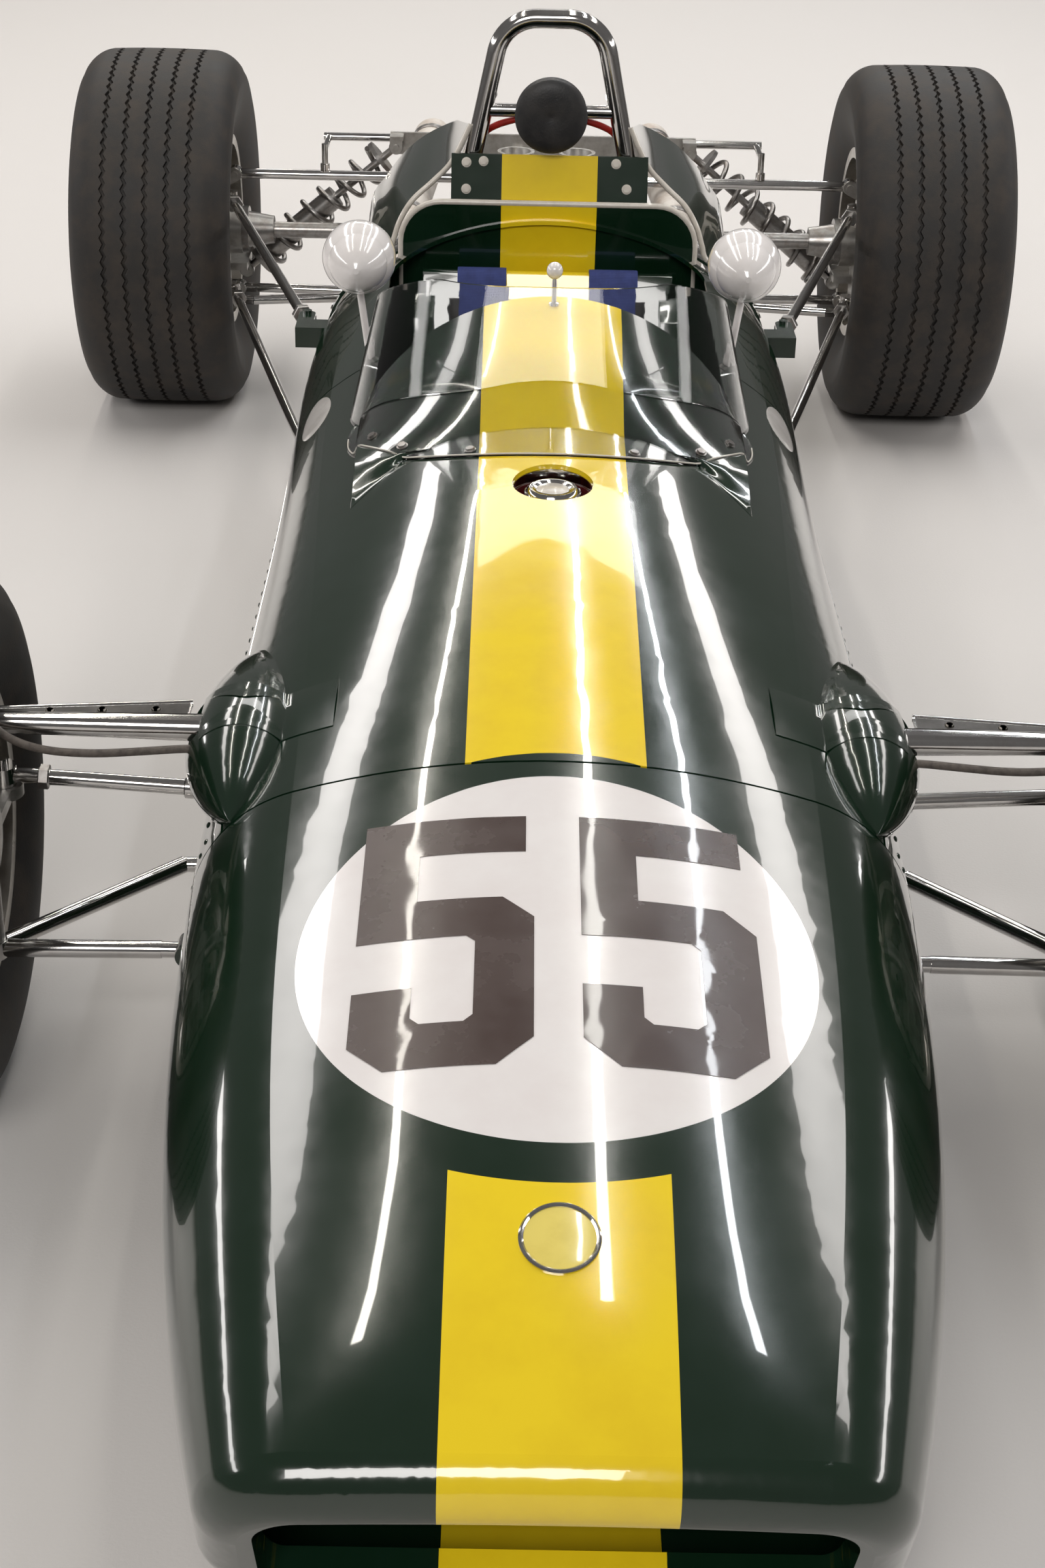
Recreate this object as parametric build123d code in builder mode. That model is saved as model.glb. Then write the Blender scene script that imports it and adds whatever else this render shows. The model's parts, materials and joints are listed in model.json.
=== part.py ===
"""An open wheel racing car of the middle 1960s, in millimetres.

The car stands on its four wheels on z = 0.  The nose points to -Y, the driver's left is +X.
A station is a distance behind the front axle; behind() turns it into a Y coordinate.
"""
from build123d import *
from math import atan2, cos, radians, sin, sqrt
import os

os.makedirs("parts", exist_ok=True)

# Driving dimensions
WHEELBASE = 2340
FRONT_AXLE_Y = -910
FRONT_TRACK = 1420
REAR_TRACK = 1440
FRONT_TYRE_RADIUS = 300
FRONT_TYRE_WIDTH = 240
REAR_TYRE_RADIUS = 332
REAR_TYRE_WIDTH = 290
BEAD_RADIUS = 165
SKIN = 6
SEAM = 3
SEATED = 0.3
FLOOR_Z = 97
RUNNING = 0.1

# Body stations: station, half width, floor, floor corner radius, side top, shoulder radius, crown
BODY_STATIONS = [
    (-700, 318, 112, 80, 255, 120, 400),
    (-440, 352, 102, 85, 280, 140, 449),
    (-60, 368, 92, 90, 305, 160, 500),
    (400, 362, 90, 90, 330, 170, 553),
    (1000, 360, 90, 90, 370, 160, 600),
    (1400, 350, 90, 90, 385, 150, 610),
]
LIP_STATION = -804
LIP_RAKE = 25
LIP_OUTLINE = (268, 112, 60, 225, 80, 304)
LIP_RADIUS = 38
NOSE_END = -150
COVER_END = 940
TUB_END = 1400
SIDE_SPLIT = 400

# Cockpit
RIM_TOP, RIM_HALF_WIDTH, RIM_CORNER = 636, 226, 62
OPENING_HALF_WIDTH = 236
OPENING_FRONT = 640
OPENING_REAR = 1385
HOOD_FRONT = 560
HOOD_FRONT_TOP = 556
HOOD_REAR = 780
HOOD_TOP = 675
HOOD_HALF_WIDTH = 244
HOOD_FOOT = 524

# Front suspension and steering
KINGPIN_X = 608
UPPER_JOINT_Z = 425
LOWER_JOINT_Z = 175
LOWER_PIVOT_X = 392
FRONT_ARM_STATIONS = (0, 185)
ARM_LENGTH = 120
ARM_TOP = 305
RACK_Z = 295
RACK_X = 300
RACK_STATION = ARM_LENGTH
TRACK_ROD_RADIUS = 9

# Rear suspension
REAR_UPRIGHT_X = 618
REAR_TOP_Z = 432
REAR_LOW_Z = 205

# Engine and gearbox
CRANK_Z = 235
ENGINE_FRONT = 1470
ENGINE_REAR = 1940
GEARBOX_END = 2690
TAIL_END = 2765
JACK_RADIUS = 12
JACK_DEPTH = 60


def behind(station):
    """Y coordinate of a station."""
    return FRONT_AXLE_Y + station


def station_plane(station):
    """Plane across the car, with its normal to the front."""
    return Plane.XZ.offset(-behind(station))


def save(piece, name):
    """Label one finished piece and write it."""
    piece.label = name
    export_step(piece, f"parts/{name}.step")


def body_outline(plane, half_width, floor, floor_radius, side_top, shoulder, crown, grow=0.0):
    """Closed outline of the body across the car: flat floor, upright sides, round shoulders, crowned top."""
    w, b, rb = half_width + grow, floor - grow, floor_radius + grow
    r, t = shoulder + grow, crown + grow
    rise = side_top - t
    crown_radius = (r**2 - (w - r) ** 2 - rise**2) / (2 * (rise + r))
    meet = atan2(rise + crown_radius, w - r)
    cut = rb * (1 - sqrt(0.5))
    meet_x, meet_z = w - r + r * cos(meet), side_top + r * sin(meet)
    half_x, half_z = w - r + r * cos(meet / 2), side_top + r * sin(meet / 2)
    with BuildSketch(plane) as outline:
        with BuildLine():
            Line((-(w - rb), b), (w - rb, b))
            ThreePointArc((w - rb, b), (w - cut, b + cut), (w, b + rb))
            Line((w, b + rb), (w, side_top))
            ThreePointArc((w, side_top), (half_x, half_z), (meet_x, meet_z))
            ThreePointArc((meet_x, meet_z), (0, t), (-meet_x, meet_z))
            ThreePointArc((-meet_x, meet_z), (-half_x, half_z), (-w, side_top))
            Line((-w, side_top), (-w, b + rb))
            ThreePointArc((-w, b + rb), (-(w - cut), b + cut), (-(w - rb), b))
        make_face()
    return outline.sketch


def lip_outline(grow=0.0, setback=0.0):
    """Outline of the nose lip on its raked plane."""
    lean = radians(LIP_RAKE)
    normal = (0, -cos(lean), -sin(lean))
    plane = Plane(origin=(0, behind(LIP_STATION + setback), 0), x_dir=(1, 0, 0), z_dir=normal)
    w, b, rb, side_top, r, t = LIP_OUTLINE
    return body_outline(plane, w, b / cos(lean), rb, side_top / cos(lean), r, t / cos(lean), grow)


def hull(grow=0.0):
    """Whole body form, grown outward or inward."""
    sections = [lip_outline(grow)]
    for station, *sizes in BODY_STATIONS:
        sections.append(body_outline(station_plane(station), *sizes, grow))
    with BuildPart() as form:
        loft(sections)
    return form.part


def block(x, stations, z):
    """Box between two x values, two stations and two heights."""
    with BuildPart() as form:
        with Locations(((x[0] + x[1]) / 2, (behind(stations[0]) + behind(stations[1])) / 2, (z[0] + z[1]) / 2)):
            Box(x[1] - x[0], stations[1] - stations[0], z[1] - z[0])
    return form.part


def point(x, station, z):
    return Vector(x, behind(station), z)


def bar(start, end, radius, end_radius=None):
    """Round bar between two points, straight or tapered."""
    line = end - start
    plane = Plane(origin=start, z_dir=line)
    with BuildPart() as form:
        if end_radius is None:
            with BuildSketch(plane):
                Circle(radius)
            extrude(amount=line.length)
        else:
            with BuildSketch(plane):
                Circle(radius)
            with BuildSketch(plane.offset(line.length)):
                Circle(end_radius)
            loft()
    return form.part


def disc(centre, axis, radius, width):
    """Short cylinder about a centre."""
    half = Vector(*axis).normalized() * (width / 2)
    return bar(centre - half, centre + half, radius)


ACROSS = (1, 0, 0)
ALONG = (0, 1, 0)
UPWARD = (0, 0, 1)


def clevis(centre, axis, eye_width, radius, reach, plate=5):
    """Two lug plates beside an eye, with bolt heads; reach is the vector from the eye to the mount."""
    unit = Vector(*axis).normalized()
    plates = []
    for side in (-1, 1):
        middle = centre + unit * side * (eye_width / 2 + SEATED + plate / 2)
        plates.append(disc(middle, axis, radius, plate))
        across = unit.cross(reach.normalized())
        plane = Plane(origin=middle, x_dir=across, z_dir=reach)
        with BuildPart() as web:
            with BuildSketch(plane):
                Rectangle(2 * radius, plate)
            extrude(amount=reach.length)
        plates.append(web.part)
        plates.append(disc(middle + unit * side * (plate / 2 + 2.5), axis, radius * 0.55, 5))
    with BuildPart() as form:
        for piece in plates:
            add(piece)
    return form.part


# Body form
body_form = hull()
body_inside = hull(-SKIN)

# Blisters over the rockers, seen on the body side
BLISTER_X, BLISTER_Z, BLISTER_RADIUS = 322, 412, 62


def blister(side):
    """Tear-drop bulge over one rocker pivot."""
    radius = BLISTER_RADIUS
    with BuildPart() as form:
        with BuildSketch(Plane(origin=(side * BLISTER_X, behind(0), BLISTER_Z), x_dir=(0, 1, 0), z_dir=(0, 0, 1))):
            with BuildLine():
                Line((-150, 0), (260, 0))
                ThreePointArc((260, 0), (130, -radius * 0.72), (10, -radius))
                ThreePointArc((10, -radius), (-90, -radius * 0.66), (-150, 0))
            make_face()
        revolve(axis=Axis((side * BLISTER_X, behind(0), BLISTER_Z), (0, 1, 0)))
    return form.part


# Nose cone with its rounded lip
with BuildPart() as nose_cone:
    add(body_form)
    fillet(nose_cone.faces().sort_by(Axis.Y)[0].edges(), LIP_RADIUS)
    add(body_inside & block((-500, 500), (-850, 0), (0, 700)), mode=Mode.SUBTRACT)
    extrude(lip_outline(-LIP_RADIUS - 3), amount=-160, mode=Mode.SUBTRACT)
    add(block((-500, 500), (NOSE_END - SEAM / 2, 2000), (0, 900)), mode=Mode.SUBTRACT)
    flange = hull(-SKIN - SEATED) - hull(-SKIN - 3)
    add(flange & block((-500, 500), (NOSE_END - 20, NOSE_END + 6 - SEATED), (0, 700)))
    add((body_inside - hull(-SKIN - 3)) & block((-500, 500), (NOSE_END - 20, NOSE_END - SEAM / 2), (0, 700)))
save(nose_cone.part, "nose_cone")


def hood(wall=0.0, overrun=0):
    """Dash hood: a hump that rises to an arched rear edge."""
    slope = (HOOD_TOP - HOOD_FRONT_TOP) / (HOOD_REAR - HOOD_FRONT)
    half = HOOD_HALF_WIDTH - wall
    arches = []
    for station, top in ((HOOD_FRONT, HOOD_FRONT_TOP), (HOOD_REAR + overrun, HOOD_TOP + slope * overrun)):
        with BuildSketch(station_plane(station)) as arch:
            with BuildLine():
                ThreePointArc((-half, HOOD_FOOT), (0, top - wall), (half, HOOD_FOOT))
                Polyline((half, HOOD_FOOT), (half, 450), (-half, 450), (-half, HOOD_FOOT))
            make_face()
        arches.append(arch.sketch)
    with BuildPart() as form:
        loft(arches)
    return form.part


def opening(grow=0.0):
    """Cockpit opening through the top of the body."""
    length = OPENING_REAR - OPENING_FRONT
    centre = behind((OPENING_REAR + OPENING_FRONT) / 2)
    with BuildPart() as form:
        with BuildSketch(Plane.XY.offset(SIDE_SPLIT - 60)):
            with Locations((0, centre)):
                RectangleRounded(2 * (OPENING_HALF_WIDTH + grow), length + 2 * grow, 90)
        extrude(amount=500)
    return form.part


opening_form = opening() & block((-500, 500), (HOOD_REAR, 2000), (0, 900))
outer_form = body_form + hood() + blister(-1) + blister(1)
inner_form = body_inside + hood(4, 20)
shell = outer_form - inner_form - opening_form

# Holes in the body side for the rockers and the track rods, and the filler's well
SIDE_HOLES = ((0, 442, 33), (ARM_LENGTH, RACK_Z + 8, 30))
CAP_STATION, CAP_HOLE_RADIUS = 430, 48
with BuildPart() as skin_holes:
    for station, height, radius in SIDE_HOLES:
        add(bar(point(-450, station, height), point(-250, station, height), radius))
        add(bar(point(250, station, height), point(450, station, height), radius))
    add(bar(point(0, CAP_STATION, 400), point(0, CAP_STATION, 600), CAP_HOLE_RADIUS))
shell = shell - skin_holes.part

# Cover over the driver's legs, with the dash hood
cover_zone = block((-500, 500), (NOSE_END + SEAM / 2, COVER_END - SEAM / 2), (SIDE_SPLIT + SEAM / 2, 800))
with BuildPart() as scuttle:
    add(shell & cover_zone, clean=False)
save(scuttle.part, "scuttle")

# Rear hard points: x, station and height of each joint
LINK_EYE = 20
TOP_LINK_IN = (120, WHEELBASE + 30, REAR_TOP_Z)
TOP_LINK_OUT = (REAR_UPRIGHT_X - 24, WHEELBASE + 30, REAR_TOP_Z)
LOW_ARM_IN = (120, WHEELBASE + 20, REAR_LOW_Z)
LOW_ARM_OUT = ((REAR_UPRIGHT_X - 24, WHEELBASE - 45, REAR_LOW_Z), (REAR_UPRIGHT_X - 24, WHEELBASE + 38, REAR_LOW_Z))
ROD_HIGH = ((376, TUB_END + 34, 430), (REAR_UPRIGHT_X - 24.3, WHEELBASE - 70, 412))
ROD_LOW = ((366, TUB_END + 34, 170), (REAR_UPRIGHT_X - 24.3, WHEELBASE - 70, 236))
BAR_STATION, BAR_Z, BAR_RADIUS, BAR_HALF = 2484, 480, 8, 430
COIL_HIGH, COIL_LOW = (286, 2440, 474), (REAR_UPRIGHT_X - 36, WHEELBASE + 75, 232)


def at(place, side=1):
    """Point for a hard point, on one side."""
    return point(side * place[0], place[1], place[2])


# Steering column line
WHEEL_CENTRE = point(0, 880, 500)
WHEEL_RADIUS = 142
COLUMN_RADIUS = 11
PINION = point(0, RACK_STATION + 34 + SEATED, RACK_Z + 18)
column_line = WHEEL_CENTRE - PINION
column_unit = column_line.normalized()

# Lugs for the lower arms, joined to the tub
with BuildPart() as lugs:
    for side in (-1, 1):
        for station in FRONT_ARM_STATIONS:
            reach = Vector(-side * 30, 0, 10)
            add(clevis(point(side * LOWER_PIVOT_X, station, 166), ALONG, 22, 14, reach))
        for rod in (ROD_HIGH, ROD_LOW):
            x, station, height = rod[0]
            add(clevis(at(rod[0], side), UPWARD, LINK_EYE, 13, Vector(0, -38, 0)))
            add(block(sorted((side * 336, side * (x + 13))), (station - 78, station - 34), (height - 16, height + 16)))

# Tub: skins, inner walls, bulkheads and the cockpit's rear rim
INNER_WALL_X = 242
with BuildPart() as tub:
    add(shell & block((-500, 500), (NOSE_END + SEAM / 2, TUB_END), (0, SIDE_SPLIT - SEAM / 2)))
    add(shell & block((-500, 500), (COVER_END + SEAM / 2, TUB_END), (SIDE_SPLIT - 2, 800)))
    for side in (-1, 1):
        wall = block(sorted((side * INNER_WALL_X, side * (INNER_WALL_X + 5))), (70, TUB_END), (60, SIDE_SPLIT - 4))
        add(wall & body_inside)
    front_plate = block((-500, 500), (NOSE_END + 6, NOSE_END + 12), (60, SIDE_SPLIT - 4)) & body_inside
    add(front_plate)
    rear_plate = block((-500, 500), (TUB_END - 8, TUB_END), (60, 700)) & body_inside
    add(rear_plate)
    arch = Plane.XZ.offset(-behind(TUB_END))
    with BuildSketch(arch):
        with Locations((0, (RIM_TOP + 440) / 2)):
            RectangleRounded(2 * RIM_HALF_WIDTH, RIM_TOP - 440, RIM_CORNER)
    extrude(amount=8)
    add(lugs.part)
    for side in (-1, 1):
        rod_hole = bar(point(side * 200, ARM_LENGTH, RACK_Z), point(side * 300, ARM_LENGTH, RACK_Z), 30)
        add(rod_hole, mode=Mode.SUBTRACT)
save(tub.part, "tub")

# Windscreen: clear wrap-round screen, thicker at its foot flange
SCREEN_FRONT, SCREEN_REAR, SCREEN_TOP, SCREEN_WALL = 600, 955, 712, 3
FLANGE_FRONT, FLANGE_MIDDLE, FLANGE_HALF_WIDTH, FLANGE_WALL = 500, 690, 262, 2.5


def screen_outline(height, half_width, front, corner):
    """Plan outline of the screen at one height, open behind the cockpit."""
    rear = SCREEN_REAR + 200
    with BuildSketch(Plane.XY.offset(height)) as outline:
        with Locations((0, behind((front + rear) / 2))):
            RectangleRounded(2 * half_width, rear - front, corner)
    return outline.sketch


def screen_form(grow=0.0):
    """Leaning form of the screen, from its foot to above its top edge."""
    with BuildPart() as form:
        loft([
            screen_outline(490, 268 + grow, SCREEN_FRONT - grow, 190),
            screen_outline(760, 205 + grow, 712 - grow, 150),
        ])
    return form.part


screen_side = [(behind(500), 400), (behind(500), SCREEN_TOP), (behind(720), SCREEN_TOP),
               (behind(SCREEN_REAR), 592), (behind(SCREEN_REAR), 400)]
with BuildPart() as screen_band:
    with BuildSketch(Plane.YZ):
        with BuildLine():
            Polyline(*screen_side, close=True)
        make_face()
    extrude(amount=400, both=True)
above_body = hull(SEATED) + hood(-SEATED)
with BuildPart() as flange_plan:
    with BuildSketch(Plane.XY.offset(450)):
        with Locations((0, behind(FLANGE_MIDDLE))):
            Ellipse(FLANGE_HALF_WIDTH, FLANGE_MIDDLE - FLANGE_FRONT)
    extrude(amount=200)
with BuildPart() as windscreen:
    add((screen_form() - screen_form(-SCREEN_WALL)) & screen_band.part)
    flange_form = hull(SEATED + FLANGE_WALL) + hood(-SEATED - FLANGE_WALL)
    add((flange_form & flange_plan.part) - screen_form(-SCREEN_WALL))
    add(above_body, mode=Mode.SUBTRACT)
save(windscreen.part, "windscreen")

# Filler cap in its well
with BuildPart() as filler_cap:
    add(bar(point(0, CAP_STATION, 496), point(0, CAP_STATION, 620), CAP_HOLE_RADIUS + 4) & hull(-SKIN - SEATED))
    add(bar(point(0, CAP_STATION, 500), point(0, CAP_STATION, 620), CAP_HOLE_RADIUS - 1), mode=Mode.SUBTRACT)
    add(bar(point(0, CAP_STATION, 499), point(0, CAP_STATION, 540), 33))
    add(bar(point(0, CAP_STATION, 540), point(0, CAP_STATION, 546), 33, 26))
save(filler_cap.part, "filler_cap")


def revolve_across(profile, station, height, x=0.0):
    """Turn a closed profile of (x, radius) points about a cross axis."""
    with BuildPart() as form:
        with BuildSketch(Plane(origin=(x, behind(station), height), x_dir=(1, 0, 0), z_dir=(0, -1, 0))):
            with BuildLine():
                Polyline(*profile, close=True)
            make_face()
        revolve(axis=Axis((x, behind(station), height), (1, 0, 0)))
    return form.part


# Wheels: side, station, track, tyre radius, tyre width, rim half width, name
WHEELS = [
    (1, 0, FRONT_TRACK, FRONT_TYRE_RADIUS, FRONT_TYRE_WIDTH, 102, "front_left"),
    (-1, 0, FRONT_TRACK, FRONT_TYRE_RADIUS, FRONT_TYRE_WIDTH, 102, "front_right"),
    (1, WHEELBASE, REAR_TRACK, REAR_TYRE_RADIUS, REAR_TYRE_WIDTH, 122, "rear_left"),
    (-1, WHEELBASE, REAR_TRACK, REAR_TYRE_RADIUS, REAR_TYRE_WIDTH, 122, "rear_right"),
]
SPINDLE_RADIUS = 20
HUB_RADIUS = 44
DISC_RADIUS = 122
DISC_OFFSET = 60
SLOTS = 8


def tyre_form(x, side, station, radius, width, rim_half):
    """Tyre section: flat tread, round shoulders and full side walls."""
    half = width / 2
    tread = half * 0.66
    seat = rim_half - 6
    bead = BEAD_RADIUS + SEATED
    middle = (radius + bead) / 2 + 12
    with BuildPart() as form:
        with BuildSketch(Plane(origin=(x, behind(station), radius), x_dir=(1, 0, 0), z_dir=(0, -1, 0))):
            with BuildLine():
                ThreePointArc((-tread, radius - 2), (0, radius), (tread, radius - 2))
                ThreePointArc((tread, radius - 2), (half * 0.9, radius - 20), (half, middle))
                ThreePointArc((half, middle), (half * 0.96, middle - 32), (seat, bead + 14))
                Polyline((seat, bead + 14), (seat, bead), (seat - 22, bead), (seat - 22, bead + 12))
                ThreePointArc((seat - 22, bead + 12), (half - 16, middle), (tread, radius - 20))
                Line((tread, radius - 20), (-tread, radius - 20))
                ThreePointArc((-tread, radius - 20), (-half + 16, middle), (-seat + 22, bead + 12))
                Polyline((-seat + 22, bead + 12), (-seat + 22, bead), (-seat, bead), (-seat, bead + 14))
                ThreePointArc((-seat, bead + 14), (-half * 0.96, middle - 32), (-half, middle))
                ThreePointArc((-half, middle), (-half * 0.9, radius - 20), (-tread, radius - 2))
            make_face()
        revolve(axis=Axis((x, behind(station), radius), (1, 0, 0)))
    return form.part


def rim_form(x, side, station, radius, rim_half):
    """Cast rim: barrel with drop centre, slotted cone and hub with its bore."""
    seat, flange, well = BEAD_RADIUS, BEAD_RADIUS + 13, BEAD_RADIUS - 14
    wall = 6
    h = rim_half
    barrel = [
        (-h, flange), (-h + 5, flange), (-h + 5, seat), (-h + 34, seat), (-h + 48, well),
        (h - 48, well), (h - 34, seat), (h - 5, seat), (h - 5, flange), (h, flange),
        (h, seat - wall), (h - 36, seat - wall), (h - 50, well - wall),
        (-h + 50, well - wall), (-h + 36, seat - wall), (-h, seat - wall),
    ]
    face = side * 20
    out = side
    hub = [
        (face - out * 28, SPINDLE_RADIUS + RUNNING), (face - out * 28, HUB_RADIUS), (face + out * 4, HUB_RADIUS + 8),
        (face + out * 26, well - 2), (face + out * 38, well - 2), (face + out * 20, HUB_RADIUS + 8),
        (face + out * 34, HUB_RADIUS), (face + out * 34, SPINDLE_RADIUS + RUNNING),
    ]
    with BuildPart() as form:
        add(revolve_across(barrel, station, radius, x))
        add(revolve_across(hub, station, radius, x))
        turn = Plane(origin=(x, behind(station), radius), x_dir=(0, 1, 0), z_dir=(1, 0, 0))
        with BuildSketch(turn):
            with PolarLocations(96, SLOTS):
                SlotCenterToCenter(30, 26)
        extrude(amount=90, both=True, mode=Mode.SUBTRACT)
    return form.part


for side, station, track, radius, width, rim_half, name in WHEELS:
    x = side * track / 2
    save(tyre_form(x, side, station, radius, width, rim_half), f"tyre_{name}")
    save(rim_form(x, side, station, radius, rim_half), f"rim_{name}")
    disc_x = x - side * DISC_OFFSET
    with BuildPart() as brake_disc:
        add(disc(point(disc_x, station, radius), ACROSS, DISC_RADIUS, 10))
        add(bar(point(disc_x, station, radius), point(x + side * (20 - 28 - SEATED), station, radius), HUB_RADIUS - 4))
        add(bar(point(disc_x - 9 * side, station, radius), point(x, station, radius), SPINDLE_RADIUS + RUNNING),
            mode=Mode.SUBTRACT)
        turn = Plane(origin=(disc_x, behind(station), radius), x_dir=(0, 1, 0), z_dir=(1, 0, 0))
        with BuildSketch(turn):
            with PolarLocations(84, 12):
                Circle(7)
        extrude(amount=20, both=True, mode=Mode.SUBTRACT)
    save(brake_disc.part, f"brake_disc_{name}")

# Front uprights: kingpin column, spindle with its nut, caliper and steering arm
for side, name in ((1, "left"), (-1, "right")):
    centre = FRONT_TRACK / 2
    k = side * KINGPIN_X
    axle_z = FRONT_TYRE_RADIUS
    disc_x = side * (centre - DISC_OFFSET)
    with BuildPart() as front_upright:
        add(bar(point(k, 0, LOWER_JOINT_Z + SEATED), point(k, 0, UPPER_JOINT_Z - SEATED), 15))
        add(bar(point(k - side * 14, 0, axle_z), point(disc_x - side * 8, 0, axle_z), 42, 34))
        add(bar(point(k, 0, axle_z), point(side * (centre + 90), 0, axle_z), SPINDLE_RADIUS))
        nut = Plane(origin=point(side * (centre + 20 + 34 + SEATED), 0, axle_z), z_dir=(side, 0, 0))
        with BuildSketch(nut):
            RegularPolygon(36, 6)
        extrude(amount=24)
        add(block(sorted((k - side * 12, k + side * 12)), (0, ARM_LENGTH), (ARM_TOP - 14, ARM_TOP)))
        add(bar(point(k, ARM_LENGTH, ARM_TOP - 14), point(k, ARM_LENGTH, ARM_TOP), 22))
        caliper = block(sorted((disc_x - side * 30, disc_x + side * 30)), (-118, -62), (axle_z - 60, axle_z + 60))
        slot = block((disc_x - 6.5, disc_x + 6.5), (-130, -30), (axle_z - 80, axle_z + 80))
        add(caliper - slot)
        add(block(sorted((disc_x - side * 30, disc_x + side * 30)), (-136, -(DISC_RADIUS + 5)), (axle_z - 36, axle_z + 36)))
        add(block(sorted((disc_x - side * 30, disc_x + side * 30)), (-136, -117), (axle_z - 36, axle_z + 36)) - slot)
        add(block(sorted((k - side * 12, disc_x - side * 10)), (-100, 0), (axle_z - 24, axle_z + 24)))
    save(front_upright.part, f"front_upright_{name}")

# Front rockers: tapered tube in front, stiffened sheet behind, on a pivot block inside the body
ROCKER_PIVOT_X = 264
DAMPER_X = 228
DAMPER_TOP, DAMPER_LOW, DAMPER_EYE = 396, 150, 24
ROCKER_PIVOT_Z = 430
with BuildPart() as front_rockers:
    add(bar(point(DAMPER_X, 0, 426), point(370, 0, 440), 12, 13))
    add(bar(point(352, 0, 440), point(KINGPIN_X - 10, 0, 442), 15, 11))
    add(disc(point(ROCKER_PIVOT_X, 0, ROCKER_PIVOT_Z), ALONG, 18, 60))
    add(clevis(point(DAMPER_X, 0, DAMPER_TOP), ALONG, DAMPER_EYE, 11, Vector(0, 0, 28)))
    add(block((DAMPER_X - 12, DAMPER_X + 12), (-20, 20), (414, 438)))
    add(bar(point(KINGPIN_X, 0, UPPER_JOINT_Z), point(KINGPIN_X, 0, 454), 17))
    plate = [(382, 2), (KINGPIN_X - 14, 2), (KINGPIN_X - 14, 28), (382, 52)]
    with BuildSketch(Plane.XY.offset(440)):
        with BuildLine():
            Polyline(*[(x, behind(station)) for x, station in plate], close=True)
        make_face()
    extrude(amount=4)
    add(bar(point(382, 52, 442), point(KINGPIN_X - 14, 28, 442), 4))
    mirror(about=Plane.YZ)
save(front_rockers.part, "front_rockers")

# Cross frame inside the body at the front axle: carries the rockers, the dampers and the lower arms
FRAME_STATION = 42
with BuildPart() as cross_frame:
    frame_form = hull(-SKIN - SEATED)
    for station in (-FRAME_STATION, FRAME_STATION):
        add(frame_form & block((-345, 345), (station - 3, station + 3), (60, 455)))
    add(block((-180, 180), (-60, 60), (150, 480)), mode=Mode.SUBTRACT)
    for side in (-1, 1):
        add(block(sorted((side * 180, side * 186)), (-FRAME_STATION, FRAME_STATION), (110, 420)))
        add(block(sorted((side * 180, side * 318)), (-FRAME_STATION, FRAME_STATION), (112, 118)))
        add(clevis(point(side * DAMPER_X, 0, DAMPER_LOW), ALONG, DAMPER_EYE, 11, Vector(0, 0, -34)))
        pivot = side * ROCKER_PIVOT_X
        for end in (-1, 1):
            face = point(pivot, end * (30 + SEATED), ROCKER_PIVOT_Z)
            add(bar(face, point(pivot, end * FRAME_STATION, ROCKER_PIVOT_Z), 14))
save(cross_frame.part, "cross_frame")

# Lower wishbones at the front, pinned to lugs on the tub's side
with BuildPart() as front_wishbones:
    outer_joint = point(KINGPIN_X, 0, LOWER_JOINT_Z - 11)
    add(bar(point(KINGPIN_X, 0, LOWER_JOINT_Z - 20), point(KINGPIN_X, 0, LOWER_JOINT_Z), 17))
    for station in FRONT_ARM_STATIONS:
        inner_joint = point(LOWER_PIVOT_X, station, 166)
        straight = inner_joint + Vector(30, 0, 0)
        add(bar(inner_joint, straight, 9))
        add(bar(straight, outer_joint, 10))
        add(disc(inner_joint, ALONG, 15, 22))
    mirror(about=Plane.YZ)
save(front_wishbones.part, "front_wishbones")


# Front spring and damper units, upright inside the cross frame

COLLAR = 34


def damper(start, end, body_radius, spring_radius, wire=5, turns=7):
    """Damper with its two spring plates, and a coil spring between them as a solid of its own."""
    line = end - start
    unit = line.normalized()
    low_plate, high_plate = COLLAR + 8, line.length - COLLAR - 8
    first, last = low_plate + wire + SEATED, high_plate - wire - SEATED
    with BuildPart() as strut:
        add(bar(start, end, 7))
        add(bar(start + unit * COLLAR, start + unit * (line.length * 0.6), body_radius))
        add(bar(start + unit * COLLAR, start + unit * low_plate, spring_radius + wire))
        add(bar(start + unit * high_plate, end - unit * COLLAR, spring_radius + wire))
    with BuildPart() as spring:
        with BuildLine():
            coil = Helix(pitch=(last - first) / turns, height=last - first, radius=spring_radius,
                         center=start + unit * first, direction=line)
        with BuildSketch(Plane(origin=coil @ 0, z_dir=coil % 0)):
            Circle(wire)
        sweep()
    return strut.part, spring.part


with BuildPart() as front_dampers:
    low, high = point(DAMPER_X, 0, DAMPER_LOW), point(DAMPER_X, 0, DAMPER_TOP)
    strut, spring = damper(low, high, 20, 30)
    add(strut)
    add(disc(low, ALONG, 12, DAMPER_EYE))
    add(disc(high, ALONG, 12, DAMPER_EYE))
    add(spring)
    mirror(about=Plane.YZ)
save(front_dampers.part, "front_dampers")

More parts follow.
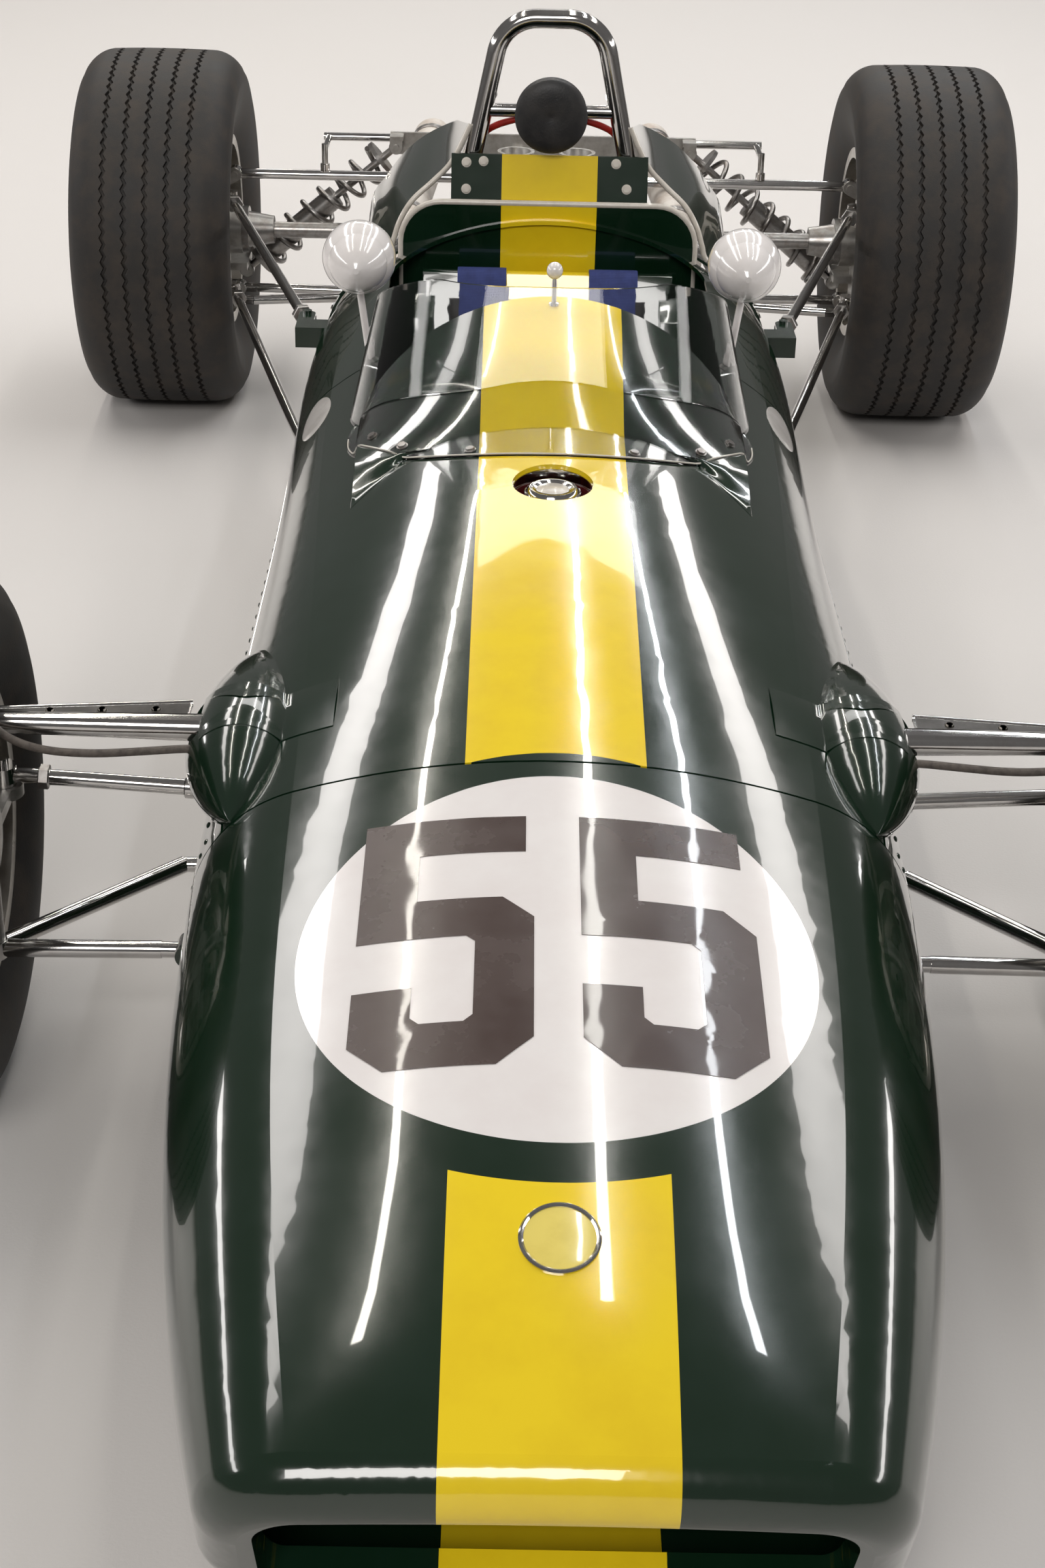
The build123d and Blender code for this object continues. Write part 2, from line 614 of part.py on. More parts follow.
# Steering rack housing on two feet, the sliding rack with its track rods, and the wheel with its column
HOUSING_HALF = 170
with BuildPart() as rack_housing:
    add(bar(point(-HOUSING_HALF, RACK_STATION, RACK_Z), point(HOUSING_HALF, RACK_STATION, RACK_Z), 24))
    for side in (-1, 1):
        foot = sorted((side * 120, side * 150))
        add(block(foot, (RACK_STATION - 8, RACK_STATION + 8), (FLOOR_Z + 1, RACK_Z)))
        add(block(foot, (RACK_STATION - 30, RACK_STATION + 30), (FLOOR_Z + 1, 106)))
    add(block((-26, 26), (RACK_STATION, RACK_STATION + 34), (RACK_Z - 20, RACK_Z + 14)))
    add(bar(point(-HOUSING_HALF - 1, RACK_STATION, RACK_Z), point(HOUSING_HALF + 1, RACK_STATION, RACK_Z),
            14 + RUNNING), mode=Mode.SUBTRACT)
save(rack_housing.part, "rack_housing")

EYE_Z = ARM_TOP + 0.4
with BuildPart() as track_rods:
    add(bar(point(-RACK_X + 40, RACK_STATION, RACK_Z), point(RACK_X - 40, RACK_STATION, RACK_Z), 14))
    for side in (-1, 1):
        inner = point(side * (RACK_X - 44), RACK_STATION, RACK_Z)
        outer = point(side * KINGPIN_X, RACK_STATION, EYE_Z + 11)
        add(bar(inner, outer, TRACK_ROD_RADIUS))
        add(bar(inner - Vector(side * 8, 0, 0), inner + Vector(side * 14, 0, 0), 17))
        add(bar(point(side * KINGPIN_X, RACK_STATION, EYE_Z), point(side * KINGPIN_X, RACK_STATION, EYE_Z + 22), 16))
        add(bar(point(side * KINGPIN_X, RACK_STATION, EYE_Z), point(side * KINGPIN_X, RACK_STATION, EYE_Z + 30), 6))
save(track_rods.part, "track_rods")

# Steering wheel and its column
with BuildPart() as steering_wheel:
    wheel_plane = Plane(origin=WHEEL_CENTRE, x_dir=(1, 0, 0), z_dir=column_line)
    with BuildSketch(Plane(origin=WHEEL_CENTRE, x_dir=(1, 0, 0), z_dir=wheel_plane.y_dir)):
        with Locations((WHEEL_RADIUS, 0)):
            Circle(13)
    revolve(axis=Axis(WHEEL_CENTRE, column_line))
    with BuildSketch(wheel_plane.offset(-2)):
        for angle in (0, 180, 270):
            with Locations(Rot(0, 0, angle)):
                with Locations((WHEEL_RADIUS / 2, 0)):
                    Rectangle(WHEEL_RADIUS, 22)
        Circle(36)
    extrude(amount=4)
    add(bar(WHEEL_CENTRE - column_unit * 20, WHEEL_CENTRE + column_unit * 8, 28))
    add(bar(PINION, WHEEL_CENTRE, COLUMN_RADIUS))
save(steering_wheel.part, "steering_wheel")

# Dash panel under the hood, with its dials towards the driver
DASH_STATION = 742
DIALS = ((0, 590, 40), (-95, 578, 26), (95, 578, 26), (-150, 545, 22), (150, 545, 22))
with BuildPart() as instrument_panel:
    add(hood(4 + SEATED, 20) & block((-300, 300), (DASH_STATION, DASH_STATION + 4), (505, 700)))
    for x, z, radius in DIALS:
        add(bar(point(x, DASH_STATION - 30, z), point(x, DASH_STATION + 12, z), radius))
        add(bar(point(x, DASH_STATION + 8, z), point(x, DASH_STATION + 13, z), radius - 5), mode=Mode.SUBTRACT)
    for x in (-45, 45):
        add(bar(point(x, DASH_STATION - 4, 530), point(x, DASH_STATION + 18, 530), 5))
    column_at_dash = PINION + column_line * ((DASH_STATION - RACK_STATION - 30) / (WHEEL_CENTRE - PINION).Y)
    add(block((-16, 16), (DASH_STATION, DASH_STATION + 4), (column_at_dash.Z, 520)))
    add(bar(column_at_dash - column_unit * 14, column_at_dash + column_unit * 14, 19))
    add(bar(column_at_dash - column_unit * 30, column_at_dash + column_unit * 30, COLUMN_RADIUS + RUNNING),
        mode=Mode.SUBTRACT)
save(instrument_panel.part, "instrument_panel")

# Seat: one shell that leans back, from the tub's floor to the rear rim
seat_side = [(1000, 104), (1150, 110), (1327, 530), (1333, 545), (1349, 545), (1349, 530), (1180, FLOOR_Z),
             (1000, FLOOR_Z)]
SEAT_HALF_WIDTH, BOLSTER = 190, 30


def seat_profile():
    """Side outline of the seat shell, for the seat and the belts that lie on it."""
    with BuildSketch(Plane.YZ) as profile:
        with BuildLine():
            Polyline(*[(behind(station), height) for station, height in seat_side], close=True)
        make_face()
    return profile.sketch


with BuildPart() as seat:
    extrude(seat_profile(), amount=SEAT_HALF_WIDTH, both=True)
    for side in (-1, 1):
        bolster = [(980, FLOOR_Z), (980, 190), (1130, 230), (1280, 490), (1325, 515), (1180, FLOOR_Z)]
        with BuildSketch(Plane.YZ.offset(side * SEAT_HALF_WIDTH - BOLSTER / 2)):
            with BuildLine():
                Polyline(*[(behind(station), height) for station, height in bolster], close=True)
            make_face()
        extrude(amount=BOLSTER)
save(seat.part, "seat")

# Roll hoop with its cross bar, feet and two stays to the engine's front plate
HOOP_STATION, HOOP_TOP, HOOP_RADIUS, HOOP_BEND = 1440, 901, 14, 62
HOOP_FOOT_X, HOOP_SHOULDER_X, HOOP_FOOT_Z = 175, 74, 420
STAY_X, STAY_STATION, STAY_Z = 150, 1957, 540
HOOP_BAR_Z = 766
with BuildPart() as roll_hoop:
    low_left = point(-HOOP_FOOT_X, HOOP_STATION, HOOP_FOOT_Z)
    high_left = point(-HOOP_SHOULDER_X, HOOP_STATION, HOOP_TOP)
    with BuildLine():
        FilletPolyline(low_left, high_left, point(HOOP_SHOULDER_X, HOOP_STATION, HOOP_TOP),
                       point(HOOP_FOOT_X, HOOP_STATION, HOOP_FOOT_Z), radius=HOOP_BEND)
    with BuildSketch(Plane(origin=low_left, z_dir=high_left - low_left)):
        Circle(HOOP_RADIUS)
    sweep()
    add(bar(point(-98, HOOP_STATION, HOOP_BAR_Z), point(98, HOOP_STATION, HOOP_BAR_Z), 10))
    for side in (-1, 1):
        add(block(sorted((side * 150, side * 200)), (TUB_END + SEATED, HOOP_STATION + 22), (410, 424)))
        add(bar(point(side * 92, HOOP_STATION, 790), point(side * STAY_X, STAY_STATION, STAY_Z + 16), 10))
        add(bar(point(side * STAY_X, STAY_STATION, STAY_Z + SEATED), point(side * STAY_X, STAY_STATION, STAY_Z + 20), 14))
save(roll_hoop.part, "roll_hoop")

# Head pad on the cross bar, and the panel behind the rim
with BuildPart() as head_pad:
    add(bar(point(0, HOOP_STATION - 50, HOOP_BAR_Z), point(0, HOOP_STATION - 10 - SEATED, HOOP_BAR_Z), 55))
    fillet(head_pad.edges(), 12)
save(head_pad.part, "head_pad")

# Engine: crankcase, two banks with heads, and covers
BANK_ANGLE = 45
engine_length = ENGINE_REAR - ENGINE_FRONT
engine_middle = (ENGINE_FRONT + ENGINE_REAR) / 2
with BuildPart() as engine:
    add(block((-130, 130), (ENGINE_FRONT, ENGINE_REAR), (150, 320)))
    add(block((-95, 95), (ENGINE_FRONT + 10, ENGINE_REAR - 10), (110, 150)))
    for angle in (-BANK_ANGLE, BANK_ANGLE):
        bank = Plane(origin=point(0, engine_middle, CRANK_Z), x_dir=(0, 1, 0),
                     z_dir=(sin(radians(angle)), 0, cos(radians(angle))))
        with BuildSketch(bank):
            Rectangle(engine_length - 20, 150)
        extrude(amount=250)
    for side in (-1, 1):
        add(block(sorted((side * 120, side * 200)), (TUB_END + SEATED, ENGINE_FRONT + 30), (170, 230)))
save(engine.part, "engine")

with BuildPart() as cam_covers:
    for angle in (-BANK_ANGLE, BANK_ANGLE):
        bank = Plane(origin=point(0, engine_middle, CRANK_Z), x_dir=(0, 1, 0),
                     z_dir=(sin(radians(angle)), 0, cos(radians(angle)))).offset(250 + SEATED)
        for offset_across in (-42, 42):
            with BuildSketch(bank):
                with Locations((0, offset_across)):
                    RectangleRounded(engine_length - 40, 66, 12)
            extrude(amount=46)
        with BuildSketch(bank):
            Rectangle(engine_length - 60, 60)
        extrude(amount=12)
    fillet(cam_covers.edges().filter_by(GeomType.LINE).filter_by(Axis.Y).group_by(Axis.Z)[-1], 8)
save(cam_covers.part, "cam_covers")

# Intake trumpets in the vee, on a plate that rests between the banks
BANK_HALF = 75
VEE_SEAT_Z = 398
VEE_SEAT_X = VEE_SEAT_Z - CRANK_Z - BANK_HALF * sqrt(2) - 2 * SEATED
with BuildPart() as intake_trumpets:
    for side in (-1, 1):
        for cylinder in range(4):
            foot = point(side * 30, ENGINE_FRONT + 70 + 110 * cylinder, 404)
            mouth = foot + Vector(side * 22, 0, 180)
            add(bar(foot, mouth, 22))
            add(bar(mouth, mouth + Vector(0, 0, 20), 22, 32))
            add(bar(mouth - Vector(0, 0, 20), mouth + Vector(0, 0, 22), 18, 26), mode=Mode.SUBTRACT)
    add(block((-VEE_SEAT_X, VEE_SEAT_X), (ENGINE_FRONT + 30, ENGINE_REAR - 30), (VEE_SEAT_Z, VEE_SEAT_Z + 14)))
save(intake_trumpets.part, "intake_trumpets")

def link(first, second, radius, axis, eye_radius=14):
    """Straight link with an eye at each end."""
    with BuildPart() as form:
        add(bar(first, second, radius))
        add(disc(first, axis, eye_radius, LINK_EYE))
        add(disc(second, axis, eye_radius, LINK_EYE))
    return form.part


def rear_lugs(side):
    """Lugs on the gearbox for the top link and the lower arm, and the beam for the coil unit."""
    with BuildPart() as form:
        add(clevis(at(TOP_LINK_IN, side), ALONG, LINK_EYE, 13, Vector(-side * 40, 0, -80)))
        add(clevis(at(LOW_ARM_IN, side), ALONG, LINK_EYE, 13, Vector(-side * 50, 0, 10)))
        beam_z = COIL_HIGH[2]
        add(block(sorted((0, side * (COIL_HIGH[0] + 12))), (2452, 2460), (beam_z - 18, beam_z + 24)))
        add(block(sorted((side * 40, side * 60)), (2430, 2460), (380, beam_z)))
        add(clevis(at(COIL_HIGH, side), ALONG, LINK_EYE, 12, Vector(0, 0, 16)))
        add(block(sorted((side * (COIL_HIGH[0] - 14), side * (COIL_HIGH[0] + 12))), (2422, 2460), (beam_z + 14, beam_z + 22)))
        bearing = point(side * 180, BAR_STATION, BAR_Z)
        add(disc(bearing, ACROSS, 16, 18))
        add(block(sorted((side * 171, side * 189)), (2452, BAR_STATION), (BAR_Z - 12, BAR_Z + 12)))
        add(disc(bearing, ACROSS, BAR_RADIUS + SEATED, 30), mode=Mode.SUBTRACT)
    return form.part


# Gearbox: bell housing, final drive, gear case and rear cover
with BuildPart() as gearbox:
    with BuildSketch(station_plane(ENGINE_REAR + SEATED)):
        with Locations((0, CRANK_Z)):
            Circle(165)
    with BuildSketch(station_plane(2120)):
        with Locations((0, 280)):
            Circle(105)
    loft()
    add(bar(point(0, 2115, 290), point(0, GEARBOX_END - 60, 290), 105))
    add(block((-95, 95), (2110, GEARBOX_END - 40), (190, 400)))
    add(bar(point(-150, WHEELBASE, REAR_TYRE_RADIUS), point(150, WHEELBASE, REAR_TYRE_RADIUS), 78))
    add(bar(point(0, GEARBOX_END - 60, 290), point(0, GEARBOX_END, 290), 90, 60))
    add(bar(point(0, GEARBOX_END - JACK_DEPTH, 290), point(0, GEARBOX_END + 1, 290), JACK_RADIUS), mode=Mode.SUBTRACT)
    for side in (-1, 1):
        add(block(sorted((side * (STAY_X - 10), side * (STAY_X + 10))), (STAY_STATION - 12, STAY_STATION + 12), (300, STAY_Z)))
        add(rear_lugs(side))
save(gearbox.part, "gearbox")

# Halfshafts with a joint at each end
with BuildPart() as halfshafts:
    for side in (-1, 1):
        axle = REAR_TYRE_RADIUS
        start = point(side * (150 + SEATED), WHEELBASE, axle)
        end = point(side * (REAR_UPRIGHT_X - 40), WHEELBASE, axle)
        add(bar(start, end, 15))
        add(bar(start, start + Vector(side * 12, 0, 0), 48))
        add(bar(start + Vector(side * 12, 0, 0), start + Vector(side * 60, 0, 0), 34, 26))
        add(bar(end - Vector(side * 60, 0, 0), end - Vector(side * 12, 0, 0), 26, 34))
        add(bar(end - Vector(side * 12, 0, 0), end, 44))
save(halfshafts.part, "halfshafts")

# Rear uprights with the stub axles and calipers
with BuildPart() as rear_uprights:
    for side in (-1, 1):
        axle = REAR_TYRE_RADIUS
        u = REAR_UPRIGHT_X
        centre = REAR_TRACK / 2
        disc_x = centre - DISC_OFFSET
        add(block(sorted((side * (u - 10), side * (u + 14))), (WHEELBASE - 26, WHEELBASE + 26), (REAR_LOW_Z - 10, REAR_TOP_Z + 10)))
        add(bar(point(side * (u - 40 + SEATED), WHEELBASE, axle), point(side * (disc_x - 8), WHEELBASE, axle), 46))
        add(bar(point(side * u, WHEELBASE, axle), point(side * (centre + 90), WHEELBASE, axle), SPINDLE_RADIUS))
        nut = Plane(origin=point(side * (centre + 20 + 34 + SEATED), WHEELBASE, axle), z_dir=(side, 0, 0))
        with BuildSketch(nut):
            RegularPolygon(36, 6)
        extrude(amount=24)
        plate_x = sorted((side * (u - 10), side * (u + 14)))
        add(block(plate_x, (WHEELBASE - 62, WHEELBASE + 55), (REAR_LOW_Z - 10, REAR_LOW_Z + 13)))
        add(block(plate_x, (WHEELBASE - 84, WHEELBASE), (REAR_TOP_Z - 34, REAR_TOP_Z - 6)))
        add(block(plate_x, (WHEELBASE - 84, WHEELBASE - 64), (214, REAR_TOP_Z - 6)))
        add(block(plate_x, (WHEELBASE - 84, WHEELBASE), (214, 236)))
        add(block(sorted((side * (u - 10), side * (u + 14))), (WHEELBASE - 26, WHEELBASE + 48), (REAR_TOP_Z - 20, REAR_TOP_Z + 10)))
        add(clevis(at(TOP_LINK_OUT, side), ALONG, LINK_EYE, 13, Vector(side * 20, 0, -10)))
        add(clevis(at(COIL_LOW, side), ALONG, LINK_EYE, 12, Vector(side * 8, 0, 20)))
        add(block(sorted((side * (u - 44), side * (u + 14))), (WHEELBASE, WHEELBASE + 92), (250, 264)))
        for place in LOW_ARM_OUT:
            add(clevis(at(place, side), ALONG, LINK_EYE, 13, Vector(side * 20, 0, 0)))
save(rear_uprights.part, "rear_uprights")

with BuildPart() as rear_top_links:
    for side in (-1, 1):
        add(link(at(TOP_LINK_IN, side), at(TOP_LINK_OUT, side), 9.5, ALONG))
save(rear_top_links.part, "rear_top_links")

with BuildPart() as rear_wishbones:
    for side in (-1, 1):
        inner = at(LOW_ARM_IN, side)
        neck = inner + Vector(side * 36, 0, 0)
        add(disc(inner, ALONG, 14, LINK_EYE))
        add(bar(inner, neck, 9))
        for place in LOW_ARM_OUT:
            outer = at(place, side)
            add(disc(outer, ALONG, 14, LINK_EYE))
            add(bar(outer, outer - Vector(side * 36, 0, 0), 9))
            add(bar(neck, outer - Vector(side * 36, 0, 0), 9))
save(rear_wishbones.part, "rear_wishbones")

with BuildPart() as radius_rods:
    for side in (-1, 1):
        for rod in (ROD_HIGH, ROD_LOW):
            add(link(at(rod[0], side), at(rod[1], side), 8.5, UPWARD))
save(radius_rods.part, "radius_rods")

with BuildPart() as rear_dampers:
    for side in (-1, 1):
        low, high = at(COIL_LOW, side), at(COIL_HIGH, side)
        strut, spring = damper(low, high, 22, 32)
        add(strut)
        add(disc(low, ALONG, 14, LINK_EYE))
        add(disc(high, ALONG, 14, LINK_EYE))
        add(spring)
save(rear_dampers.part, "rear_dampers")

# Exhausts: four primaries a side into one tail pipe
EXHAUST_X, EXHAUST_Z = 266, 362


def bank_point(side, station, along_bank, outward):
    """Point beside one cylinder bank, measured along it and out from its middle."""
    lean = radians(BANK_ANGLE)
    x = along_bank * sin(lean) + outward * cos(lean)
    z = CRANK_Z + along_bank * cos(lean) - outward * sin(lean)
    return point(side * x, station, z)


for side, name in ((1, "left"), (-1, "right")):
    with BuildPart() as exhaust:
        collector = point(side * EXHAUST_X, 2080, EXHAUST_Z)
        tail = point(side * 225, TAIL_END - 8, 420)
        for cylinder in range(4):
            port = bank_point(side, ENGINE_FRONT + 70 + 110 * cylinder, 215, BANK_HALF + SEATED)
            bend = bank_point(side, ENGINE_FRONT + 70 + 110 * cylinder, 215, BANK_HALF + 34)
            add(bar(port, bend, 17))
            with Locations(bend):
                Sphere(17)
            add(bar(bend, collector, 17))
        add(bar(collector - Vector(0, 20, 0), tail, 26, 40))
        add(bar(tail - (tail - collector).normalized() * 220, tail + (tail - collector).normalized() * 20, 32, 37), mode=Mode.SUBTRACT)
    save(exhaust.part, f"exhaust_{name}")

# Radiator in the nose, on bars from the front bulkhead
with BuildPart() as radiator:
    add(block((-205, 205), (-760, -710), (150, 345)))
    for side in (-1, 1):
        add(bar(point(side * 180, -712, 180), point(side * 180, NOSE_END + 6 - SEATED, 180), 9))
        add(bar(point(side * 180, -712, 320), point(side * 180, NOSE_END + 6 - SEATED, 320), 9))
    add(block((-225, 225), (-752, -718), (160, 335)))
save(radiator.part, "radiator")

# Mirrors: egg pods on stalks
MIRROR_X, MIRROR_STATION, MIRROR_Z, POD_RADIUS = 262, 968, 668, 50
for side, name in ((1, "left"), (-1, "right")):
    with BuildPart() as mirror_pod:
        centre = point(side * MIRROR_X, MIRROR_STATION, MIRROR_Z)
        with BuildSketch(Plane(origin=centre, x_dir=(0, 1, 0), z_dir=(0, 0, 1))):
            with BuildLine():
                Polyline((-70, -4), (-70, 0), (POD_RADIUS * 0.4, 0))
                Line((POD_RADIUS * 0.4, 0), (POD_RADIUS * 0.4, -POD_RADIUS * 0.9))
                ThreePointArc((POD_RADIUS * 0.4, -POD_RADIUS * 0.9), (0, -POD_RADIUS), (-30, -POD_RADIUS * 0.8))
                ThreePointArc((-30, -POD_RADIUS * 0.8), (-58, -POD_RADIUS * 0.46), (-70, -4))
            make_face()
        revolve(axis=Axis(centre, (0, 1, 0)))
        foot = point(side * 245, MIRROR_STATION, 500)
        add(bar(foot, centre - Vector(0, 0, POD_RADIUS - 8), 5))
        add(hull(SEATED), mode=Mode.SUBTRACT)
    save(mirror_pod.part, f"mirror_{name}")

# Shoulder belts that lie on the seat back and loop over its top edge
BELT_X, BELT_WIDTH, BELT_WALL = 100, 74, 3
with BuildPart() as harness:
    belt_loop = offset(seat_profile(), SEATED + BELT_WALL, kind=Kind.INTERSECTION)
    belt_loop -= offset(seat_profile(), SEATED, kind=Kind.INTERSECTION)
    for side in (-1, 1):
        with Locations((side * BELT_X, 0, 0)):
            add(extrude(belt_loop, BELT_WIDTH / 2, both=True, mode=Mode.PRIVATE))
    add(block((-500, 500), (1150, 1400), (330, 700)), mode=Mode.INTERSECT)
save(harness.part, "harness")

# Rear anti-roll bar with its levers and drop links down to the top links
with BuildPart() as anti_roll_bar:
    add(bar(point(-BAR_HALF, BAR_STATION, BAR_Z), point(BAR_HALF, BAR_STATION, BAR_Z), BAR_RADIUS))
    for side in (-1, 1):
        corner = point(side * (BAR_HALF - 10), BAR_STATION, BAR_Z)
        lever_end = point(side * (BAR_HALF - 10), TOP_LINK_IN[1], BAR_Z)
        add(bar(corner, lever_end, 6))
        add(bar(lever_end + Vector(0, 0, 12), point(side * (BAR_HALF - 10), TOP_LINK_IN[1], REAR_TOP_Z + 9.5 + SEATED), 6))
        add(bar(point(side * (BAR_HALF - 10), TOP_LINK_IN[1], REAR_TOP_Z + 9.5 + SEATED),
                point(side * (BAR_HALF - 10), TOP_LINK_IN[1], REAR_TOP_Z + 22), 9))
save(anti_roll_bar.part, "anti_roll_bar")

# Panel behind the rear rim, that leans back to the hoop
PANEL_HALF_WIDTH, PANEL_LOW, PANEL_TOP = 150, 640, 704
with BuildPart() as headrest_panel:
    panel_side = [(TUB_END + 2, PANEL_LOW - 3.7), (TUB_END + 2, PANEL_LOW), (TUB_END + 19, PANEL_TOP),
                  (TUB_END + 23, PANEL_TOP), (TUB_END + 7, PANEL_LOW), (TUB_END + 7, 600), (TUB_END + SEATED, 600),
                  (TUB_END + SEATED, PANEL_LOW - 3.7)]
    with BuildSketch(Plane.YZ):
        with BuildLine():
            Polyline(*[(behind(station), height) for station, height in panel_side], close=True)
        make_face()
    extrude(amount=PANEL_HALF_WIDTH, both=True)
save(headrest_panel.part, "headrest_panel")

# Cowls beside the engine, behind the tub: station, half width, side top, shoulder radius, crown
COWL_STATIONS = [
    (TUB_END + SEATED, 348, 400, 150, 618),
    (1560, 330, 400, 150, 606),
    (1740, 292, 380, 140, 560),
]
COWL_LOW, COWL_INNER_X = 300, 168


def cowl_form(wall=0.0):
    """Whole form of the engine cover, before its middle and lower parts are cut away."""
    sections = []
    for station, half_width, side_top, shoulder, crown in COWL_STATIONS:
        sections.append(body_outline(station_plane(station), half_width, 200, 60, side_top, shoulder, crown, -wall))
    with BuildPart() as form:
        loft(sections)
    return form.part


with BuildPart() as engine_cowls:
    add(cowl_form() - cowl_form(4))
    add(block((-COWL_INNER_X, COWL_INNER_X), (1300, 2000), (0, 800)), mode=Mode.SUBTRACT)
    add(block((-500, 500), (1300, 2000), (0, COWL_LOW)), mode=Mode.SUBTRACT)
save(engine_cowls.part, "engine_cowls")
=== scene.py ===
"""Looks of the open wheel racing car: finishes, markings, tread, fixings, soft parts and stage."""

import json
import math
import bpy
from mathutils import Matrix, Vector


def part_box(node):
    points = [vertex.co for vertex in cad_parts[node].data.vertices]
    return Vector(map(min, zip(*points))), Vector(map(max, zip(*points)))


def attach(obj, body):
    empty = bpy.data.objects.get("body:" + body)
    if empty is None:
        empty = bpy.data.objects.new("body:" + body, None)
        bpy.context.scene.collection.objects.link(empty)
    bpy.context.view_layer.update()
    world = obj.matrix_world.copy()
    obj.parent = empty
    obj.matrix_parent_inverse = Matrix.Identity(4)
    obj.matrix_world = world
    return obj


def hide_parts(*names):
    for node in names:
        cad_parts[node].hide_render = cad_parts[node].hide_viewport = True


bl_info = {
    "name": "Open Wheel Racing Car Looks",
    "version": (1, 0, 0),
    "blender": (4, 5, 0),
    "location": "View3D > Sidebar > Racing Car",
    "description": "Finishes and fine pieces around the packed frame of the racing car",
    "category": "Object",
}

import bmesh
import bpy
import numpy as np
from mathutils import Matrix, Vector
from mathutils.bvhtree import BVHTree

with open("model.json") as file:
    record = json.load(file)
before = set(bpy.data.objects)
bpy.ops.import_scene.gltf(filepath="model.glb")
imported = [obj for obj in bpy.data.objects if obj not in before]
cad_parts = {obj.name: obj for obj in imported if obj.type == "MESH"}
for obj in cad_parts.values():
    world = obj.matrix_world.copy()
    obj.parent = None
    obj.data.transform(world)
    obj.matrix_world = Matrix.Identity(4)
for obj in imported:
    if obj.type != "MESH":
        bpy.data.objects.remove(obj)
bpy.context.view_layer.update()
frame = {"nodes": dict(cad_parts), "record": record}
NODES = frame["nodes"]
WHEEL_NAMES = ("front_left", "front_right", "rear_left", "rear_right")
SIDES = ((1, "left"), (-1, "right"))
UP, DOWN, BACK = Vector((0, 0, 1)), Vector((0, 0, -1)), Vector((0, 1, 0))


def middle(node):
    """Centre of a node's box."""
    low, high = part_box(node)
    return (low + high) / 2


FRONT_AXLE_Y = middle("brake_disc_front_left").y
KINGPIN_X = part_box("front_rockers")[1].x - 0.017


def place(x, station, z):
    """Point at a station, which is the distance behind the front axle."""
    return Vector((x, FRONT_AXLE_Y + station, z))


def route(side, stops):
    """Points of a line given as (outward, station, height) stops on one side of the car."""
    return [place(side * x, station, z) for x, station, z in stops]


# Sizes and colours that a user would change

class MarkingSizes(bpy.types.PropertyGroup):
    """Sizes and colours of the stripe and the number disc"""
    stripe_width: bpy.props.FloatProperty(
        name="Stripe Width", description="Width of the centre stripe", default=0.178, unit="LENGTH")
    rear_stripe_width: bpy.props.FloatProperty(
        name="Rear Stripe Width", description="Stripe width behind the cockpit", default=0.146, unit="LENGTH")
    roundel_radius: bpy.props.FloatProperty(
        name="Roundel Radius", description="Half the width of the number disc", default=0.2325, unit="LENGTH")
    roundel_station: bpy.props.FloatProperty(
        name="Roundel Station", description="Centre behind the front axle", default=-0.417, unit="LENGTH")
    stripe_gap_radius: bpy.props.FloatProperty(
        name="Stripe Gap Radius", description="Radius round the disc that the stripe stops at", default=0.281,
        unit="LENGTH")
    body_colour: bpy.props.FloatVectorProperty(
        name="Body Colour", description="Dark green of the body", default=(0.0035, 0.0165, 0.0068),
        subtype="COLOR")
    stripe_colour: bpy.props.FloatVectorProperty(
        name="Stripe Colour", description="Yellow of the stripe", default=(0.86, 0.63, 0.014),
        subtype="COLOR")
    disc_colour: bpy.props.FloatVectorProperty(
        name="Disc Colour", description="White of the number disc", default=(0.80, 0.77, 0.76),
        subtype="COLOR")


class TreadSizes(bpy.types.PropertyGroup):
    """Sizes of the tyres' grooves"""
    grooves: bpy.props.IntProperty(name="Grooves", description="Zigzag grooves round a tyre", default=5)
    groove_width: bpy.props.FloatProperty(
        name="Groove Width", description="Width of one groove", default=0.0070, unit="LENGTH")
    groove_depth: bpy.props.FloatProperty(
        name="Groove Depth", description="Depth of one groove", default=0.006, unit="LENGTH")
    zigzag: bpy.props.FloatProperty(
        name="Zigzag", description="Sideways swing of a groove", default=0.0056, unit="LENGTH")
    zigzag_count: bpy.props.IntProperty(name="Zigzag Count", description="Teeth round one tyre", default=96)


class FixingSizes(bpy.types.PropertyGroup):
    """Sizes of the rivets and bolts"""
    rivet_radius: bpy.props.FloatProperty(
        name="Rivet Radius", description="Radius of a rivet head", default=0.0034, unit="LENGTH")
    rivet_pitch: bpy.props.FloatProperty(
        name="Rivet Pitch", description="Distance between rivets in a row", default=0.034, unit="LENGTH")
    bolt_radius: bpy.props.FloatProperty(
        name="Bolt Radius", description="Radius over a bolt head's corners", default=0.0075, unit="LENGTH")


class StageSizes(bpy.types.PropertyGroup):
    """Floor and light of the stage"""
    floor_colour: bpy.props.FloatVectorProperty(
        name="Floor Colour", description="Pale floor", default=(0.62, 0.60, 0.585), subtype="COLOR")
    light_power: bpy.props.FloatProperty(
        name="Light Power", description="Watts that each light gets its share of", default=215.0)


# Shader groups that several finishes share

def make_group(name, inputs, outputs):
    """New shader group with its named sockets."""
    tree = bpy.data.node_groups.new(name, "ShaderNodeTree")
    for label, kind, value in inputs:
        socket = tree.interface.new_socket(name=label, in_out="INPUT", socket_type=kind)
        if value is not None:
            socket.default_value = value
    for label, kind in outputs:
        tree.interface.new_socket(name=label, in_out="OUTPUT", socket_type=kind)
    return tree, tree.nodes.new("NodeGroupInput").outputs, tree.nodes.new("NodeGroupOutput").inputs


